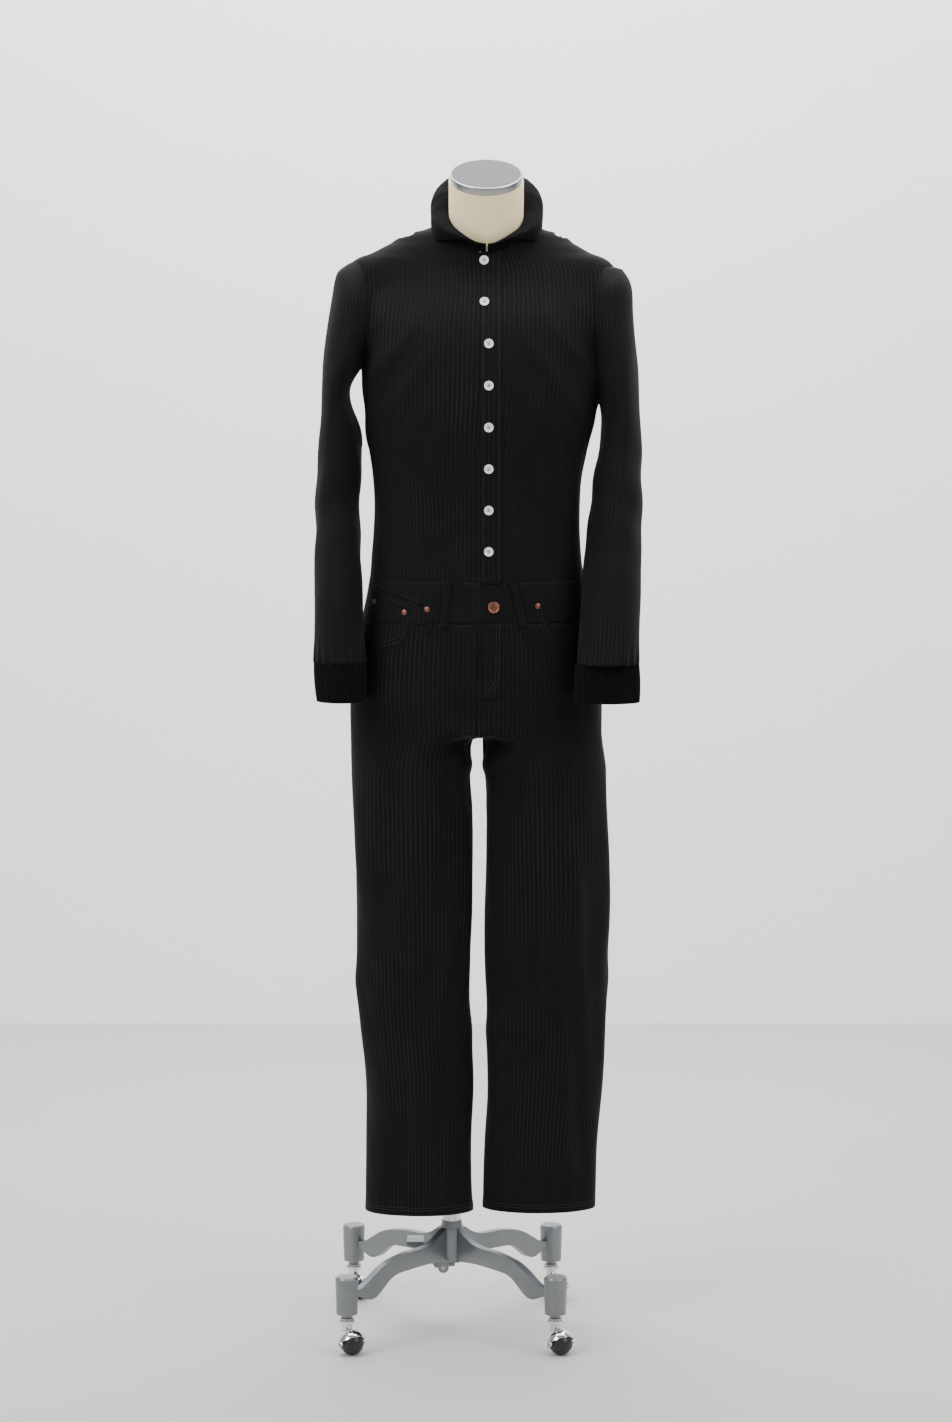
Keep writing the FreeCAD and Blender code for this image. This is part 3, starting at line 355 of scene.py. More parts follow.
# ------------------------------------------------------------------ curves and cloth grids
class Track:
    """Smooth curves through rows of numbers, by chord length, like a lofted surface's sections."""

    def __init__(self, rows: Sequence[Station]) -> None:
        """Fit natural cubic splines.

        Args:
            rows: z, middle x, half width, middle y, half depth for each station.
        """
        self.rows = np.array(rows, float)
        step = np.hypot(np.diff(self.rows[:, 0]), np.diff(self.rows[:, 2]))
        self.t = np.concatenate([[0.0], np.cumsum(np.maximum(step, 1e-6))])
        self.curve = self._second(self.t, self.rows)

    @staticmethod
    def _second(t: Array, y: Array) -> Array:
        """Second derivatives of a natural cubic spline."""
        n = len(t)
        a, b = np.zeros((n, n)), np.zeros_like(y)
        a[0, 0] = a[-1, -1] = 1.0
        for i in range(1, n - 1):
            h0, h1 = t[i] - t[i - 1], t[i + 1] - t[i]
            a[i, i - 1], a[i, i], a[i, i + 1] = h0, 2 * (h0 + h1), h1
            b[i] = 6 * ((y[i + 1] - y[i]) / h1 - (y[i] - y[i - 1]) / h0)
        return np.linalg.solve(a, b)

    def at(self, t: Array) -> Array:
        """Values at chord lengths.

        Args:
            t: Chord lengths along the table.

        Returns:
            One row of z, x, a, y, b for each.
        """
        t = np.clip(np.atleast_1d(np.asarray(t, float)), self.t[0], self.t[-1])
        i = np.clip(np.searchsorted(self.t, t) - 1, 0, len(self.t) - 2)
        h = (self.t[i + 1] - self.t[i])[:, None]
        a = (self.t[i + 1] - t)[:, None] / h
        b = 1.0 - a
        lower, upper = self.rows[i], self.rows[i + 1]
        bend = (a ** 3 - a) * self.curve[i] + (b ** 3 - b) * self.curve[i + 1]
        return a * lower + b * upper + bend * h * h / 6.0

    def chord(self, z: float) -> float:
        """The chord length at which the track reaches a height."""
        t = np.linspace(self.t[0], self.t[-1], 4000)
        return float(t[np.argmin(np.abs(self.at(t)[:, 0] - z))])


def even_angles(a: float, b: float, count: int, start: float = -math.pi / 2) -> Array:
    """Angles round an ellipse at equal arc lengths, from the front middle, with the last not repeated."""
    fine = np.linspace(0, TURN, 721) + start
    step = np.hypot(a * np.diff(np.cos(fine)), b * np.diff(np.sin(fine)))
    arc = np.concatenate([[0], np.cumsum(step)])
    return np.interp(np.linspace(0, arc[-1], count + 1)[:-1], arc, fine)


def perimeter(a: float, b: float) -> float:
    """Ramanujan's length of an ellipse."""
    return math.pi * (3 * (a + b) - math.sqrt((3 * a + b) * (a + 3 * b)))


class Waves:
    """Soft organic unevenness: a fixed sum of sines over space, from -1 to 1 or so."""

    def __init__(self, seed: int, pitch: Sequence[float], count: int = 9) -> None:
        """Draw wave directions.

        Args:
            seed: Fixed seed.
            pitch: Typical wavelength along x, y and z in millimetres.
            count: Number of waves.
        """
        rng = np.random.default_rng(seed)
        self.k = rng.normal(size=(count, 3)) * (TURN / np.array(pitch)) * 0.6
        self.phase = rng.uniform(0, TURN, count)

    def __call__(self, p: Array) -> Array:
        """Value at points in millimetres."""
        return np.sin(p @ self.k.T + self.phase).sum(-1) / math.sqrt(len(self.phase) * 0.9)


def smooth(x: Array, low: float, high: float) -> Array:
    """Smooth step from 0 at low to 1 at high."""
    t = np.clip((np.asarray(x, float) - low) / (high - low), 0, 1)
    return t * t * (3 - 2 * t)


def grid_normals(p: Array, wrap: bool) -> Array:
    """Unit normals of a grid of points, rows upward and columns going round to the wearer's left.

    Args:
        p: Rows by columns by 3.
        wrap: True if the last column meets the first.

    Returns:
        Outward unit normals of the same shape.
    """
    around = (np.roll(p, -1, 1) - np.roll(p, 1, 1)) if wrap else np.gradient(p, axis=1)
    up = np.gradient(p, axis=0)
    n = np.cross(around, up)
    return n / np.maximum(np.linalg.norm(n, axis=2, keepdims=True), 1e-9)


def tube_normals(p: Array) -> Array:
    """Unit normals of a tube's grid whose last column repeats its first."""
    n = grid_normals(p[:, :-1], True)
    return np.concatenate([n, n[:, :1]], 1)


def cloth_uv(across: Array, up: Array) -> Array:
    """Lay out uv in metres from millimetres across each column and up each row."""
    return np.stack(np.broadcast_arrays((across * MM)[None, :], (up * MM)[:, None]), -1)


def run_length(points: Array) -> Array:
    """Distance along a line of points, at each of them."""
    return np.concatenate([[0], np.cumsum(np.linalg.norm(np.diff(points, axis=0), axis=1))])


def give(obj: Piece, slot: str = "", *nodes: str) -> Piece:
    """Put a piece on the form and hide the CAD nodes it stands in for."""
    if nodes:
        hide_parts(*nodes)
    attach(obj, "form")
    return obj


def link_mesh(name: str, verts: Array, faces: List[Tuple[int, ...]], material: Finish,
              uv: Optional[Array] = None, soft: bool = True) -> Piece:
    """Make a mesh object at the origin from millimetre points.

    Args:
        name: Object name.
        verts: Points in millimetres.
        faces: Vertex loops.
        material: Finish.
        uv: Optional uv in metres for each vertex.
        soft: Smooth shading.

    Returns:
        The linked object.
    """
    mesh = bpy.data.meshes.new(name)
    mesh.from_pydata((np.asarray(verts) * MM).tolist(), [], faces)
    if uv is not None:
        layer = mesh.uv_layers.new(name="cloth_metres")
        loops = np.zeros(len(mesh.loops), np.int64)
        mesh.loops.foreach_get("vertex_index", loops)
        layer.data.foreach_set("uv", np.asarray(uv)[loops].astype(np.float32).ravel())
    mesh.materials.append(finish(material))
    if soft:
        mesh.shade_smooth()
    mesh.update()
    obj = bpy.data.objects.new(name, mesh)
    bpy.context.scene.collection.objects.link(obj)
    LOG.info("piece %s: %d faces", name, len(mesh.polygons))
    return obj


def cloth_from_grid(name: str, p: Array, material: Finish, uv: Array, thick: float, wrap: bool) -> Piece:
    """Close a grid of outside points into cloth with an inside face and joined edges.

    Args:
        name: Object name.
        p: Rows by columns by 3, in millimetres.
        material: Finish.
        uv: Rows by columns by 2, in metres; for a wrapped grid the last column is the first again.
        thick: Cloth thickness in millimetres.
        wrap: True if the grid is a tube. Then p's last column repeats its first.

    Returns:
        The cloth object.
    """
    rows, cols = p.shape[:2]
    inner = p - (tube_normals(p) if wrap else grid_normals(p, False)) * thick
    size = rows * cols
    idx = np.arange(size).reshape(rows, cols)
    faces = []
    for i in range(rows - 1):
        for j in range(cols - 1):
            quad = [int(v) for v in (idx[i, j], idx[i, j + 1], idx[i + 1, j + 1], idx[i + 1, j])]
            faces += [tuple(quad), tuple(v + size for v in quad[::-1])]
    borders = [((idx[0], False), (idx[-1], True))] + ([] if wrap else [((idx[:, 0], True), (idx[:, -1], False))])
    for pair in borders:
        for j in range(len(pair[0][0]) - 1):
            for edge, onward in pair:
                a, b = int(edge[j]), int(edge[j + 1])
                a, b = (a, b) if onward else (b, a)
                faces.append((a, b, b + size, a + size))
    verts = np.concatenate([p.reshape(-1, 3), inner.reshape(-1, 3)])
    both = np.concatenate([uv.reshape(-1, 2)] * 2)
    obj = link_mesh(name, verts, faces, material, both)
    if wrap:
        weld(obj)
    return obj


def weld(obj: Piece) -> None:
    """Merge vertices within a micrometre and turn the faces outward."""
    bm = bmesh.new()
    bm.from_mesh(obj.data)
    bmesh.ops.remove_doubles(bm, verts=bm.verts, dist=1e-6)
    bmesh.ops.recalc_face_normals(bm, faces=bm.faces)
    bm.to_mesh(obj.data)
    bm.free()
    obj.data.update()


def node_tree(name: str) -> BVHTree:
    """Search tree over a CAD node, in millimetres."""
    mesh = frame["nodes"][name].data
    return BVHTree.FromPolygons([v.co * 1000.0 for v in mesh.vertices], [tuple(f.vertices) for f in mesh.polygons])


def stand_off(p: Array, body: BVHTree, need: float) -> Array:
    """Lift cloth wherever it would lie in or too near the hard form under it.

    Args:
        p: Grid of outside points in millimetres.
        body: Tree of the form.
        need: Least distance from the form to the cloth's outside.

    Returns:
        Moved points.
    """
    out = p.copy()
    for i in range(p.shape[0]):
        if p[i, 0, 2] < FORM_FOOT_Z:
            continue
        for j in range(p.shape[1]):
            here = Vector(tuple(p[i, j]))
            place, normal, _, gap = body.find_nearest(here, 40.0)
            if place is None:
                continue
            signed = (here - place).dot(normal)
            if signed < need and abs(signed) > 0.3 * gap:
                out[i, j] += np.array(normal) * (need - signed)
    return out


def tree_of(p: Array) -> BVHTree:
    """Search tree over a grid of points in millimetres."""
    rows, cols = p.shape[:2]
    idx = np.arange(rows * cols).reshape(rows, cols)
    quads = np.stack([idx[:-1, :-1], idx[:-1, 1:], idx[1:, 1:], idx[1:, :-1]], -1).reshape(-1, 4)
    return BVHTree.FromPolygons(p.reshape(-1, 3).tolist(), quads.tolist())


def fillet(p: Array, n: Array, others: Sequence[BVHTree], near: Array, reach: float) -> Array:
    """Swell cloth where it meets another piece, so a sewn join flows instead of showing a crease.

    Args:
        p: Grid of points in millimetres.
        n: Their unit normals.
        others: Trees of the pieces it meets.
        near: Mask of the points worth looking at.
        reach: Width of the join in millimetres.

    Returns:
        Moved points.
    """
    out = p.copy()
    for i, j in zip(*np.nonzero(near)):
        gap = min((t.find_nearest(Vector(tuple(p[i, j])), reach)[3] or reach) for t in others)
        if gap < reach:
            out[i, j] += n[i, j] * ((1 - gap / reach) ** 2 * reach / 4)
    return out


# ------------------------------------------------------------------ the suit
TRUNK: List[Station] = [
    (1000, -5, 206, 6, 93), (1050, -5, 206, 7, 105), (1110, -4, 202.5, 8, 112), (1190, -3.5, 188, 6, 112),
    (1250, -3, 177, 3, 106), (1310, -3, 170, 1, 103), (1370, -2.5, 168, 1, 104), (1428, -3, 171.5, 2, 110),
    (1487, -1, 182, 4, 118), (1546, 3, 191.5, 6, 123), (1620, 5, 197, 8, 122), (1690, 7, 202, 10, 106),
    (1738, 8, 208, 10, 83), (1762, 6, 210, 8, 73), (1780, 4, 186, 5, 67), (1800, 5, 148, 3, 64),
    (1818, 8, 108, 3, 61), (1829, 10, 78, 3, 56)]
LEG_RIGHT: List[Station] = [
    (203, -99.5, 89.5, 0, 51), (300, -100, 87, 0, 54), (415, -101, 89, 0, 59), (510, -106.5, 90, 0, 65),
    (600, -108.5, 92, 1, 70), (700, -109.5, 95.5, 2, 75), (800, -112, 98, 4, 80), (886, -113, 98, 5, 82),
    (950, -112.5, 98.5, 6, 84), (1000, -106, 105, 6, 87), (1060, -105, 103, 6, 88)]
LEG_LEFT: List[Station] = [
    (203, 99.6, 93, 0, 51), (300, 102.5, 93.5, 0, 54), (415, 108.5, 97, 0, 59), (510, 111.5, 98.5, 0, 65),
    (600, 112, 100.5, 1, 70), (700, 112, 102, 2, 75), (800, 111.5, 101.5, 4, 80), (886, 110.5, 100.5, 5, 82),
    (950, 108, 101.5, 6, 84), (1000, 101.5, 104, 6, 87), (1060, 97, 102, 6, 88)]
SLEEVE_RIGHT: List[Station] = [
    (1122, -227, 41.8, -64, 48.5), (1190, -229, 39.5, -48, 52), (1286, -230, 38, -26, 57),
    (1384, -229.5, 36.5, -8, 62), (1465, -228, 34.5, 0, 66), (1508, -230.5, 30, 3, 68), (1566, -234, 23, 5, 70),
    (1600, -225, 30, 6, 71), (1640, -216, 35, 8, 70), (1700, -207, 36, 9, 64), (1741, -205, 30, 10, 50),
    (1757, -203, 24, 10, 36), (1765, -198, 14, 10, 22)]
SLEEVE_LEFT: List[Station] = [
    (1122, 208.5, 49.5, -90, 55), (1190, 212, 49, -73, 56), (1286, 217, 46, -44, 58), (1384, 224.5, 41, -14, 63),
    (1465, 230, 35.4, 0, 67), (1508, 232, 32.2, 3, 68), (1546, 229.5, 32, 5, 70), (1590, 224, 36, 6, 71),
    (1640, 218, 37, 8, 70), (1700, 213, 37, 9, 64), (1741, 214.5, 30, 10, 50), (1758, 213, 20, 10, 32)]
CUFF_RIGHT: List[Station] = [
    (1059, -224.5, 39.7, -71, 46), (1122, -227, 42, -65, 47)]
CUFF_LEFT: List[Station] = [
    (1059, 208.2, 52.3, -90, 41), (1122, 208.5, 51, -88, 43)]

SEAM_Z, BAND_TOP_Z, FORK_X, FORM_FOOT_Z = 1186.0, 1254.0, -3.0, 985.0
NECK_PLACE, NECK_LEAN = (11.5, -3.0, 1800.0), 26.0


class Side(Enum):
    """The wearer's sides; the value is the sign of x there."""

    RIGHT = -1.0
    LEFT = 1.0

    def node(self, stem: str) -> str:
        """Name of this side's piece."""
        return stem + "_" + self.name.lower()


@dataclass(frozen=True)
class ClothSize:
    """Thickness and resolution shared by the woven pieces."""

    thick: float = 1.2
    lift: float = 0.4
    columns: int = 260
    row_mm: float = 5.0
    stand_off: float = 2.0
    join: float = 22.0
    armhole_x: float = 140.0
    armhole_z: float = 1470.0


class TrunkSurface:
    """The dressed trunk's outside: where any trim, seam or button on the front or back has to lie."""

    def __init__(self) -> None:
        """Prepare the track and its unevenness."""
        self.track = Track(TRUNK)
        self.form = node_tree("torso_shell")
        self.soft = Waves(11, (150.0, 150.0, 320.0))
        self.drag = Waves(12, (45.0, 60.0, 260.0))
        ref = self.track.at(self.track.chord(1487))[0]
        self.ring = perimeter(ref[2], ref[4])

    def relief(self, p: Array, z: Array) -> Array:
        """Millimetres that the cloth stands out from, or lies in from, its plain shape.

        Args:
            p: Points in millimetres.
            z: Their heights.

        Returns:
            Displacement along the normal.
        """
        p = np.asarray(p, float)
        full = smooth(z, 1250, 1300) * (1 - smooth(z, 1480, 1640))
        calm = 1 - smooth(z, 1770, 1800)
        out = self.soft(p) * 1.2 * calm
        out += self.drag(p) * (0.5 + 1.3 * full) * calm * smooth(np.abs(p[..., 0] - 14), 18, 60)
        for side, x0 in ((-1, -150.0), (1, 165.0)):
            along = (p[..., 0] - x0) * 0.78 * side + (p[..., 2] - 1590) * 0.62
            reach = np.exp(-((p[..., 0] - x0) / 75.0) ** 2 - ((p[..., 2] - 1600) / 90.0) ** 2)
            out += 2.4 * reach * np.sin(along / 8.5)
        return out

    def at_chord(self, t: Array, angle: Array, lift: float = 0.0) -> Array:
        """Points on the cloth from chord lengths and angles of one shape."""
        s = self.track.at(t.ravel()).reshape(t.shape + (5,))
        x, y = s[..., 1] + s[..., 2] * np.cos(angle), s[..., 3] + s[..., 4] * np.sin(angle)
        p = np.stack([x, y, s[..., 0]], -1)
        n = np.stack([np.cos(angle) / s[..., 2], np.sin(angle) / s[..., 4], np.zeros_like(angle)], -1)
        n /= np.linalg.norm(n, axis=-1, keepdims=True)
        return p + n * (self.relief(p, s[..., 0]) + lift)[..., None]

    def sheet_tree(self) -> BVHTree:
        """Search tree over the upper body."""
        t, angle = np.meshgrid(np.linspace(self.track.chord(1400), self.track.t[-1], 120),
                               np.linspace(0, TURN, 181), indexing="ij")
        return tree_of(self.at_chord(t, angle))


@dataclass
class Bodice:
    """The suit's upper body: two fronts and a back, from the waistband to the neck seam."""

    surface: TrunkSurface
    size: ClothSize = ClothSize()
    ease: float = 1.12

    def build(self, sleeves: Sequence[BVHTree]) -> List[Piece]:
        """Make the bodice and the waistband below it.

        Args:
            sleeves: Trees of the two sleeves, which the armholes flow into.

        Returns:
            The two cloth pieces.
        """
        track = self.surface.track
        made = []
        for name, low, high, lift, nodes in (
                ("bodice_cloth", BAND_TOP_Z - 3, 1829.0, self.size.lift,
                 ("bodice_front_right", "bodice_front_left", "bodice_back")),
                ("waistband_cloth", SEAM_Z - 1, BAND_TOP_Z, self.size.lift + 0.2, ("waistband",))):
            t0, t1 = track.chord(low), track.chord(high)
            rows = max(12, int((t1 - t0) / self.size.row_mm))
            t = np.linspace(t0, t1, rows)
            st = track.at(t)
            angles = np.array([even_angles(s[2], s[4], self.size.columns) for s in st])
            angles = np.concatenate([angles, angles[:, :1] + TURN], 1)
            p = self.surface.at_chord(np.repeat(t[:, None], angles.shape[1], 1), angles, lift)
            n = tube_normals(p)
            p = stand_off(p, self.surface.form, self.size.stand_off)
            at_armhole = (np.abs(p[..., 0]) > self.size.armhole_x) & (p[..., 2] > self.size.armhole_z)
            p = fillet(p, n, sleeves, at_armhole, self.size.join)
            uv = cloth_uv(np.linspace(0, self.surface.ring, angles.shape[1]), t)
            obj = cloth_from_grid(name, p, Finish.CLOTH, uv, self.size.thick, True)
            give(obj, "suit_cloth", *nodes)
            made.append(obj)
        return made


@dataclass
class TrouserLeg:
    """One trouser leg with its half of the seat: a tube that closes at the hem line and joins its twin at the fork."""

    surface: TrunkSurface
    side: Side
    hem: float
    rows_data: List[Station]
    size: ClothSize = ClothSize()
    membrane: float = 0.075
    ease: float = 1.2
    fork_foot: float = 972.0
    blend_z: float = 935.0
    closing: Tuple[float, float] = (1001.0, 1009.0)

    def build(self) -> Tuple[Piece, Array]:
        """Make the leg from the hem to the waist seam.

        Returns:
            The cloth piece and its grid of outside points.
        """
        row, cols = self.size.row_mm, self.size.columns
        z = np.concatenate([np.arange(self.hem, self.blend_z, row * 1.6), np.arange(self.blend_z, 990, row),
                            np.arange(990, 1012, 1.6), np.arange(1012, SEAM_Z, row), [SEAM_Z]])
        s = np.linspace(0.0, 1.0, cols + 1)
        points = np.zeros((len(z), cols + 1, 3))
        for i, height in enumerate(z):
            points[i, :, :2] = self._section(height, s)
            points[i, :, 2] = height
        if self.side is Side.LEFT:
            points = points[:, ::-1]
        # The side seam stands up as a ridge beside a stitched groove.
        seam = np.minimum(np.abs(s), np.abs(1 - s)) * 520
        ridge = 0.7 * np.exp(-(seam / 3.0) ** 2) - 0.5 * np.exp(-((seam - 5.5) / 1.6) ** 2)
        ridge = ridge if self.side is Side.RIGHT else ridge[::-1]
        points = points + tube_normals(points) * (self._folds(points) + ridge[None, :])[..., None]
        points = self._close(stand_off(points, self.surface.form, self.size.stand_off), s)
        knee = self.rows_data[5]
        ring = perimeter(knee[2], knee[4])
        obj = cloth_from_grid(self.side.node("trouser_leg"), points, Finish.CLOTH,
                              cloth_uv(np.linspace(0, ring, cols + 1), z), self.size.thick, True)
        give(obj, "suit_cloth", self.side.node("leg_front"), self.side.node("leg_back"))
        return obj, points

    def _section(self, height: float, s: Array) -> Array:
        """Section at a height: the leg's ellipse below, half the seat above, and a blend that rounds the fork.

        Args:
            height: Millimetres up.
            s: Shares of the way round, from the outer seam by the front.

        Returns:
            Points across and deep.
        """
        sign = self.side.value
        leg = Track(self.rows_data)
        a = leg.at(leg.chord(min(max(height, self.rows_data[0][0]), 952.0)))[0]
        angles = even_angles(a[2], a[4], self.size.columns, 0.0 if sign > 0 else math.pi)
        angles = np.concatenate([angles, angles[:1] + TURN])
        if sign > 0:
            angles = -angles
        low = np.stack([a[1] + a[2] * np.cos(angles), a[3] + a[4] * np.sin(angles)], -1)
        inner = np.abs(s - 0.5)
        zones = [0, 0.09, 0.16, 0.3]
        end = np.interp(inner, [0, 0.09, 0.3], [1009, 1009, 1004])
        across = smooth(height, np.interp(inner, zones, [self.fork_foot, self.fork_foot, 968, self.blend_z]), end)
        deep = smooth(height, np.interp(inner, zones, [993, 993, 972, self.blend_z]), end)
        w = np.stack([across, deep], -1)
        mix = low * (1 - w) + self._seat(height, s) * w
        keep = FORK_X + sign * 0.5
        limit = np.minimum(mix[:, 0], keep) if sign < 0 else np.maximum(mix[:, 0], keep)
        above = smooth(height, *self.closing)
        mix[:, 0] = mix[:, 0] * (1 - above) + limit * above
        return mix

    def _seat(self, height: float, s: Array) -> Array:
        """Section of one half of the seat: the outer half ring, then the hidden seam plane between the legs."""
        sign = self.side.value
        a = self.surface.track.at(self.surface.track.chord(max(height, 1000.0)))[0]
        fine = np.linspace(0, math.pi, 361)
        x = a[1] + sign * a[2] * np.sin(fine)
        y = a[3] - a[4] * np.cos(fine)
        ok = (x - FORK_X) * sign > 0
        x, y = x[ok], y[ok]
        arc = np.concatenate([[0], np.cumsum(np.hypot(np.diff(x), np.diff(y)))])
        arc /= arc[-1]
        half = 0.5 - self.membrane
        out = np.zeros((len(s), 2))
        front = s <= half
        back = s >= 1 - half
        mid = ~(front | back)
        for where, share in ((front, 0.5 - 0.5 * s[front] / half), (back, 0.5 + 0.5 * (1 - s[back]) / half)):
            out[where, 0], out[where, 1] = np.interp(share, arc, x), np.interp(share, arc, y)
        k = (s[mid] - half) / (1 - 2 * half)
        out[mid, 0] = FORK_X + sign * 0.4
        out[mid, 1] = y[0] * (1 - k) + y[-1] * k
        return out

    def _close(self, points: Array, s: Array) -> Array:
        """Bring this half of the seat up to the fork seam, front and back, above the fork."""
        above = smooth(points[:, :1, 2], 1000, 1009)
        keep = FORK_X - self.side.value * 0.25
        cols = points.shape[1] - 1
        half = 0.5 - self.membrane
        for edge in (half, 1 - half):
            j = int(round(edge * cols))
            reach = np.exp(-((np.arange(cols + 1) - j) / 7.0) ** 2)[None, :]
            points[..., 0] += above * (keep - points[:, j:j + 1, 0]) * reach
        inside = (s > half) & (s < 1 - half)
        points[:, inside, 0] += above * (keep - points[:, inside, 0])
        return points

    def _folds(self, p: Array) -> Array:
        """Folds of a hanging leg: a soft pressed line, long drapes, drag lines at the fork and a break at the knee."""
        sign, zz = self.side.value, p[..., 2]
        wave = Waves(21 if sign < 0 else 22, (55.0, 70.0, 420.0))
        fine = Waves(23 if sign < 0 else 24, (38.0, 44.0, 130.0))
        leg = 1 - smooth(zz, 930, 1030)
        centre = -108.0 if sign < 0 else 110.0
        out = wave(p) * (1.1 + 2.2 * leg * (1 - smooth(np.abs(zz - 620), 150, 420)))
        out += fine(p) * (0.35 + 0.5 * np.exp(-((zz - 560) / 90.0) ** 2))
        pressed = np.exp(-((p[..., 0] - centre) / 9.0) ** 2) * (p[..., 1] < 0) * leg
        out += 2.6 * pressed * smooth(zz, 230, 420)
        reach = np.exp(-((p[..., 0] - FORK_X) / 85.0) ** 2 - ((zz - 985) / 75.0) ** 2) * (p[..., 1] < 0)
        out += 4.2 * reach * np.sin(((p[..., 0] - FORK_X) * -sign * 0.55 + (zz - 985) * 0.9) / 9.5)
        down = np.clip((950 - zz) / 450.0, 0, 1)
        drape = p[..., 0] - (centre + sign * (34 * down - 16))
        out += 5.6 * np.exp(-(drape / 22.0) ** 2) * leg * smooth(zz, 430, 600) * (p[..., 1] < 0)
        out -= 4.2 * np.exp(-((drape + sign * 36) / 20.0) ** 2) * leg * smooth(zz, 480, 640) * (p[..., 1] < 0)
        out += 2.2 * np.exp(-((zz - 545 - 0.45 * sign * (p[..., 0] - centre)) / 26.0) ** 2) * (p[..., 1] < 30)
        hem = np.exp(-((zz - self.hem) / 14.0) ** 4)
        on_form = smooth(zz, 985, 1000)
        out = out * (1 - on_form) + np.maximum(out, -0.5) * on_form
        return out * (1 - 0.6 * hem) * (1 - 0.7 * smooth(zz, 1150, SEAM_Z)) + 0.8 * hem + self.size.lift


@dataclass
class Sleeve:
    """A hanging sleeve from the armhole to the cuff seam, and its rib cuff."""

    side: Side
    rows_data: List[Station]
    cuff: List[Station]
    size: ClothSize = ClothSize()
    across: int = 150
    up: int = 150

    def shape(self) -> Tuple[Array, Array]:
        """Lay out the sleeve's outside.

        Returns:
            Points in millimetres and uv in metres.
        """
        sign = self.side.value
        track = Track(self.rows_data)
        t = np.linspace(track.t[0], track.t[-1], self.up)
        st = track.at(t)
        angle = np.linspace(0, TURN, self.across + 1) - math.pi / 2
        x = st[:, 1:2] + st[:, 2:3] * np.cos(angle)
        y = st[:, 3:4] + st[:, 4:5] * np.sin(angle)
        p = np.stack([x, y, np.broadcast_to(st[:, :1], x.shape)], -1)
        gather = np.exp(-((p[..., 2] - 1122) / 26.0) ** 2)
        wave = Waves(31 if sign < 0 else 32, (60.0, 60.0, 170.0))
        calm = 1 - smooth(p[..., 2], 1700, 1750)
        bend = np.exp(-((p[..., 2] - 1400) / 110.0) ** 2)
        spiral = np.sin((p[..., 2] + 0.6 * sign * p[..., 0] + 0.45 * p[..., 1]) / 15.0)
        out = wave(p) * (0.9 + 0.8 * bend) * calm + spiral * bend * 1.3
        out += gather * 1.6 * np.sin(angle * 17)[None, :]
        p = p + tube_normals(p) * (out + self.size.lift)[..., None]
        uv = cloth_uv(np.linspace(0, perimeter(36, 66), self.across + 1), t)
        return self._crown(p, uv, st)

    def build(self, shape: Tuple[Array, Array], bodice: BVHTree) -> None:
        """Make the sleeve and the cuff.

        Args:
            shape: What shape() gave.
            bodice: Tree of the bodice, which the sleeve's head flows into.
        """
        p, uv = shape
        p = fillet(p, tube_normals(p), [bodice], p[..., 2] > self.size.armhole_z, self.size.join)
        sleeve = cloth_from_grid(self.side.node("sleeve_cloth"), p, Finish.CLOTH, uv, self.size.thick, True)
        give(sleeve, "suit_cloth", self.side.node("sleeve"))
        self._cuff()

    @staticmethod
    def _crown(p: Array, uv: Array, st: Array) -> Tuple[Array, Array]:
        """Close the sleeve's head, which lies inside the shoulder seam."""
        top = st[-1]
        tip = np.array([top[1], top[3], top[0] + 1.5])
        ring = (p[-1:] - tip) * 0.3 + tip
        return np.concatenate([p, ring]), np.concatenate([uv, uv[-1:]])

    def _cuff(self) -> None:
        """Knit the cuff: a straight rib tube with soft ribs that pull in at its foot."""
        k = np.linspace(0, 1, 26)[:, None]
        foot, seam = self.cuff
        fine = np.linspace(0, TURN, 361) - math.pi / 2
        st = [foot[i] * (1 - k) + seam[i] * k for i in range(5)]
        bulge = 1.4 * np.sin(math.pi * k) + 0.7 * np.cos(fine * 60)[None, :] * np.ones_like(k)
        x = st[1] + (st[2] + bulge) * np.cos(fine)
        y = st[3] + (st[4] + bulge) * np.sin(fine)
        p = np.stack([x, y, np.broadcast_to(st[0], x.shape)], -1)
        ring = perimeter(foot[2], foot[4])
        uv = cloth_uv(np.linspace(0, ring, len(fine)), st[0][:, 0])
        obj = cloth_from_grid(self.side.node("cuff_rib"), p, Finish.RIB, uv, 2.2, True)
        give(obj, "suit_rib", self.side.node("cuff"))
        self.side.node("sleeve")


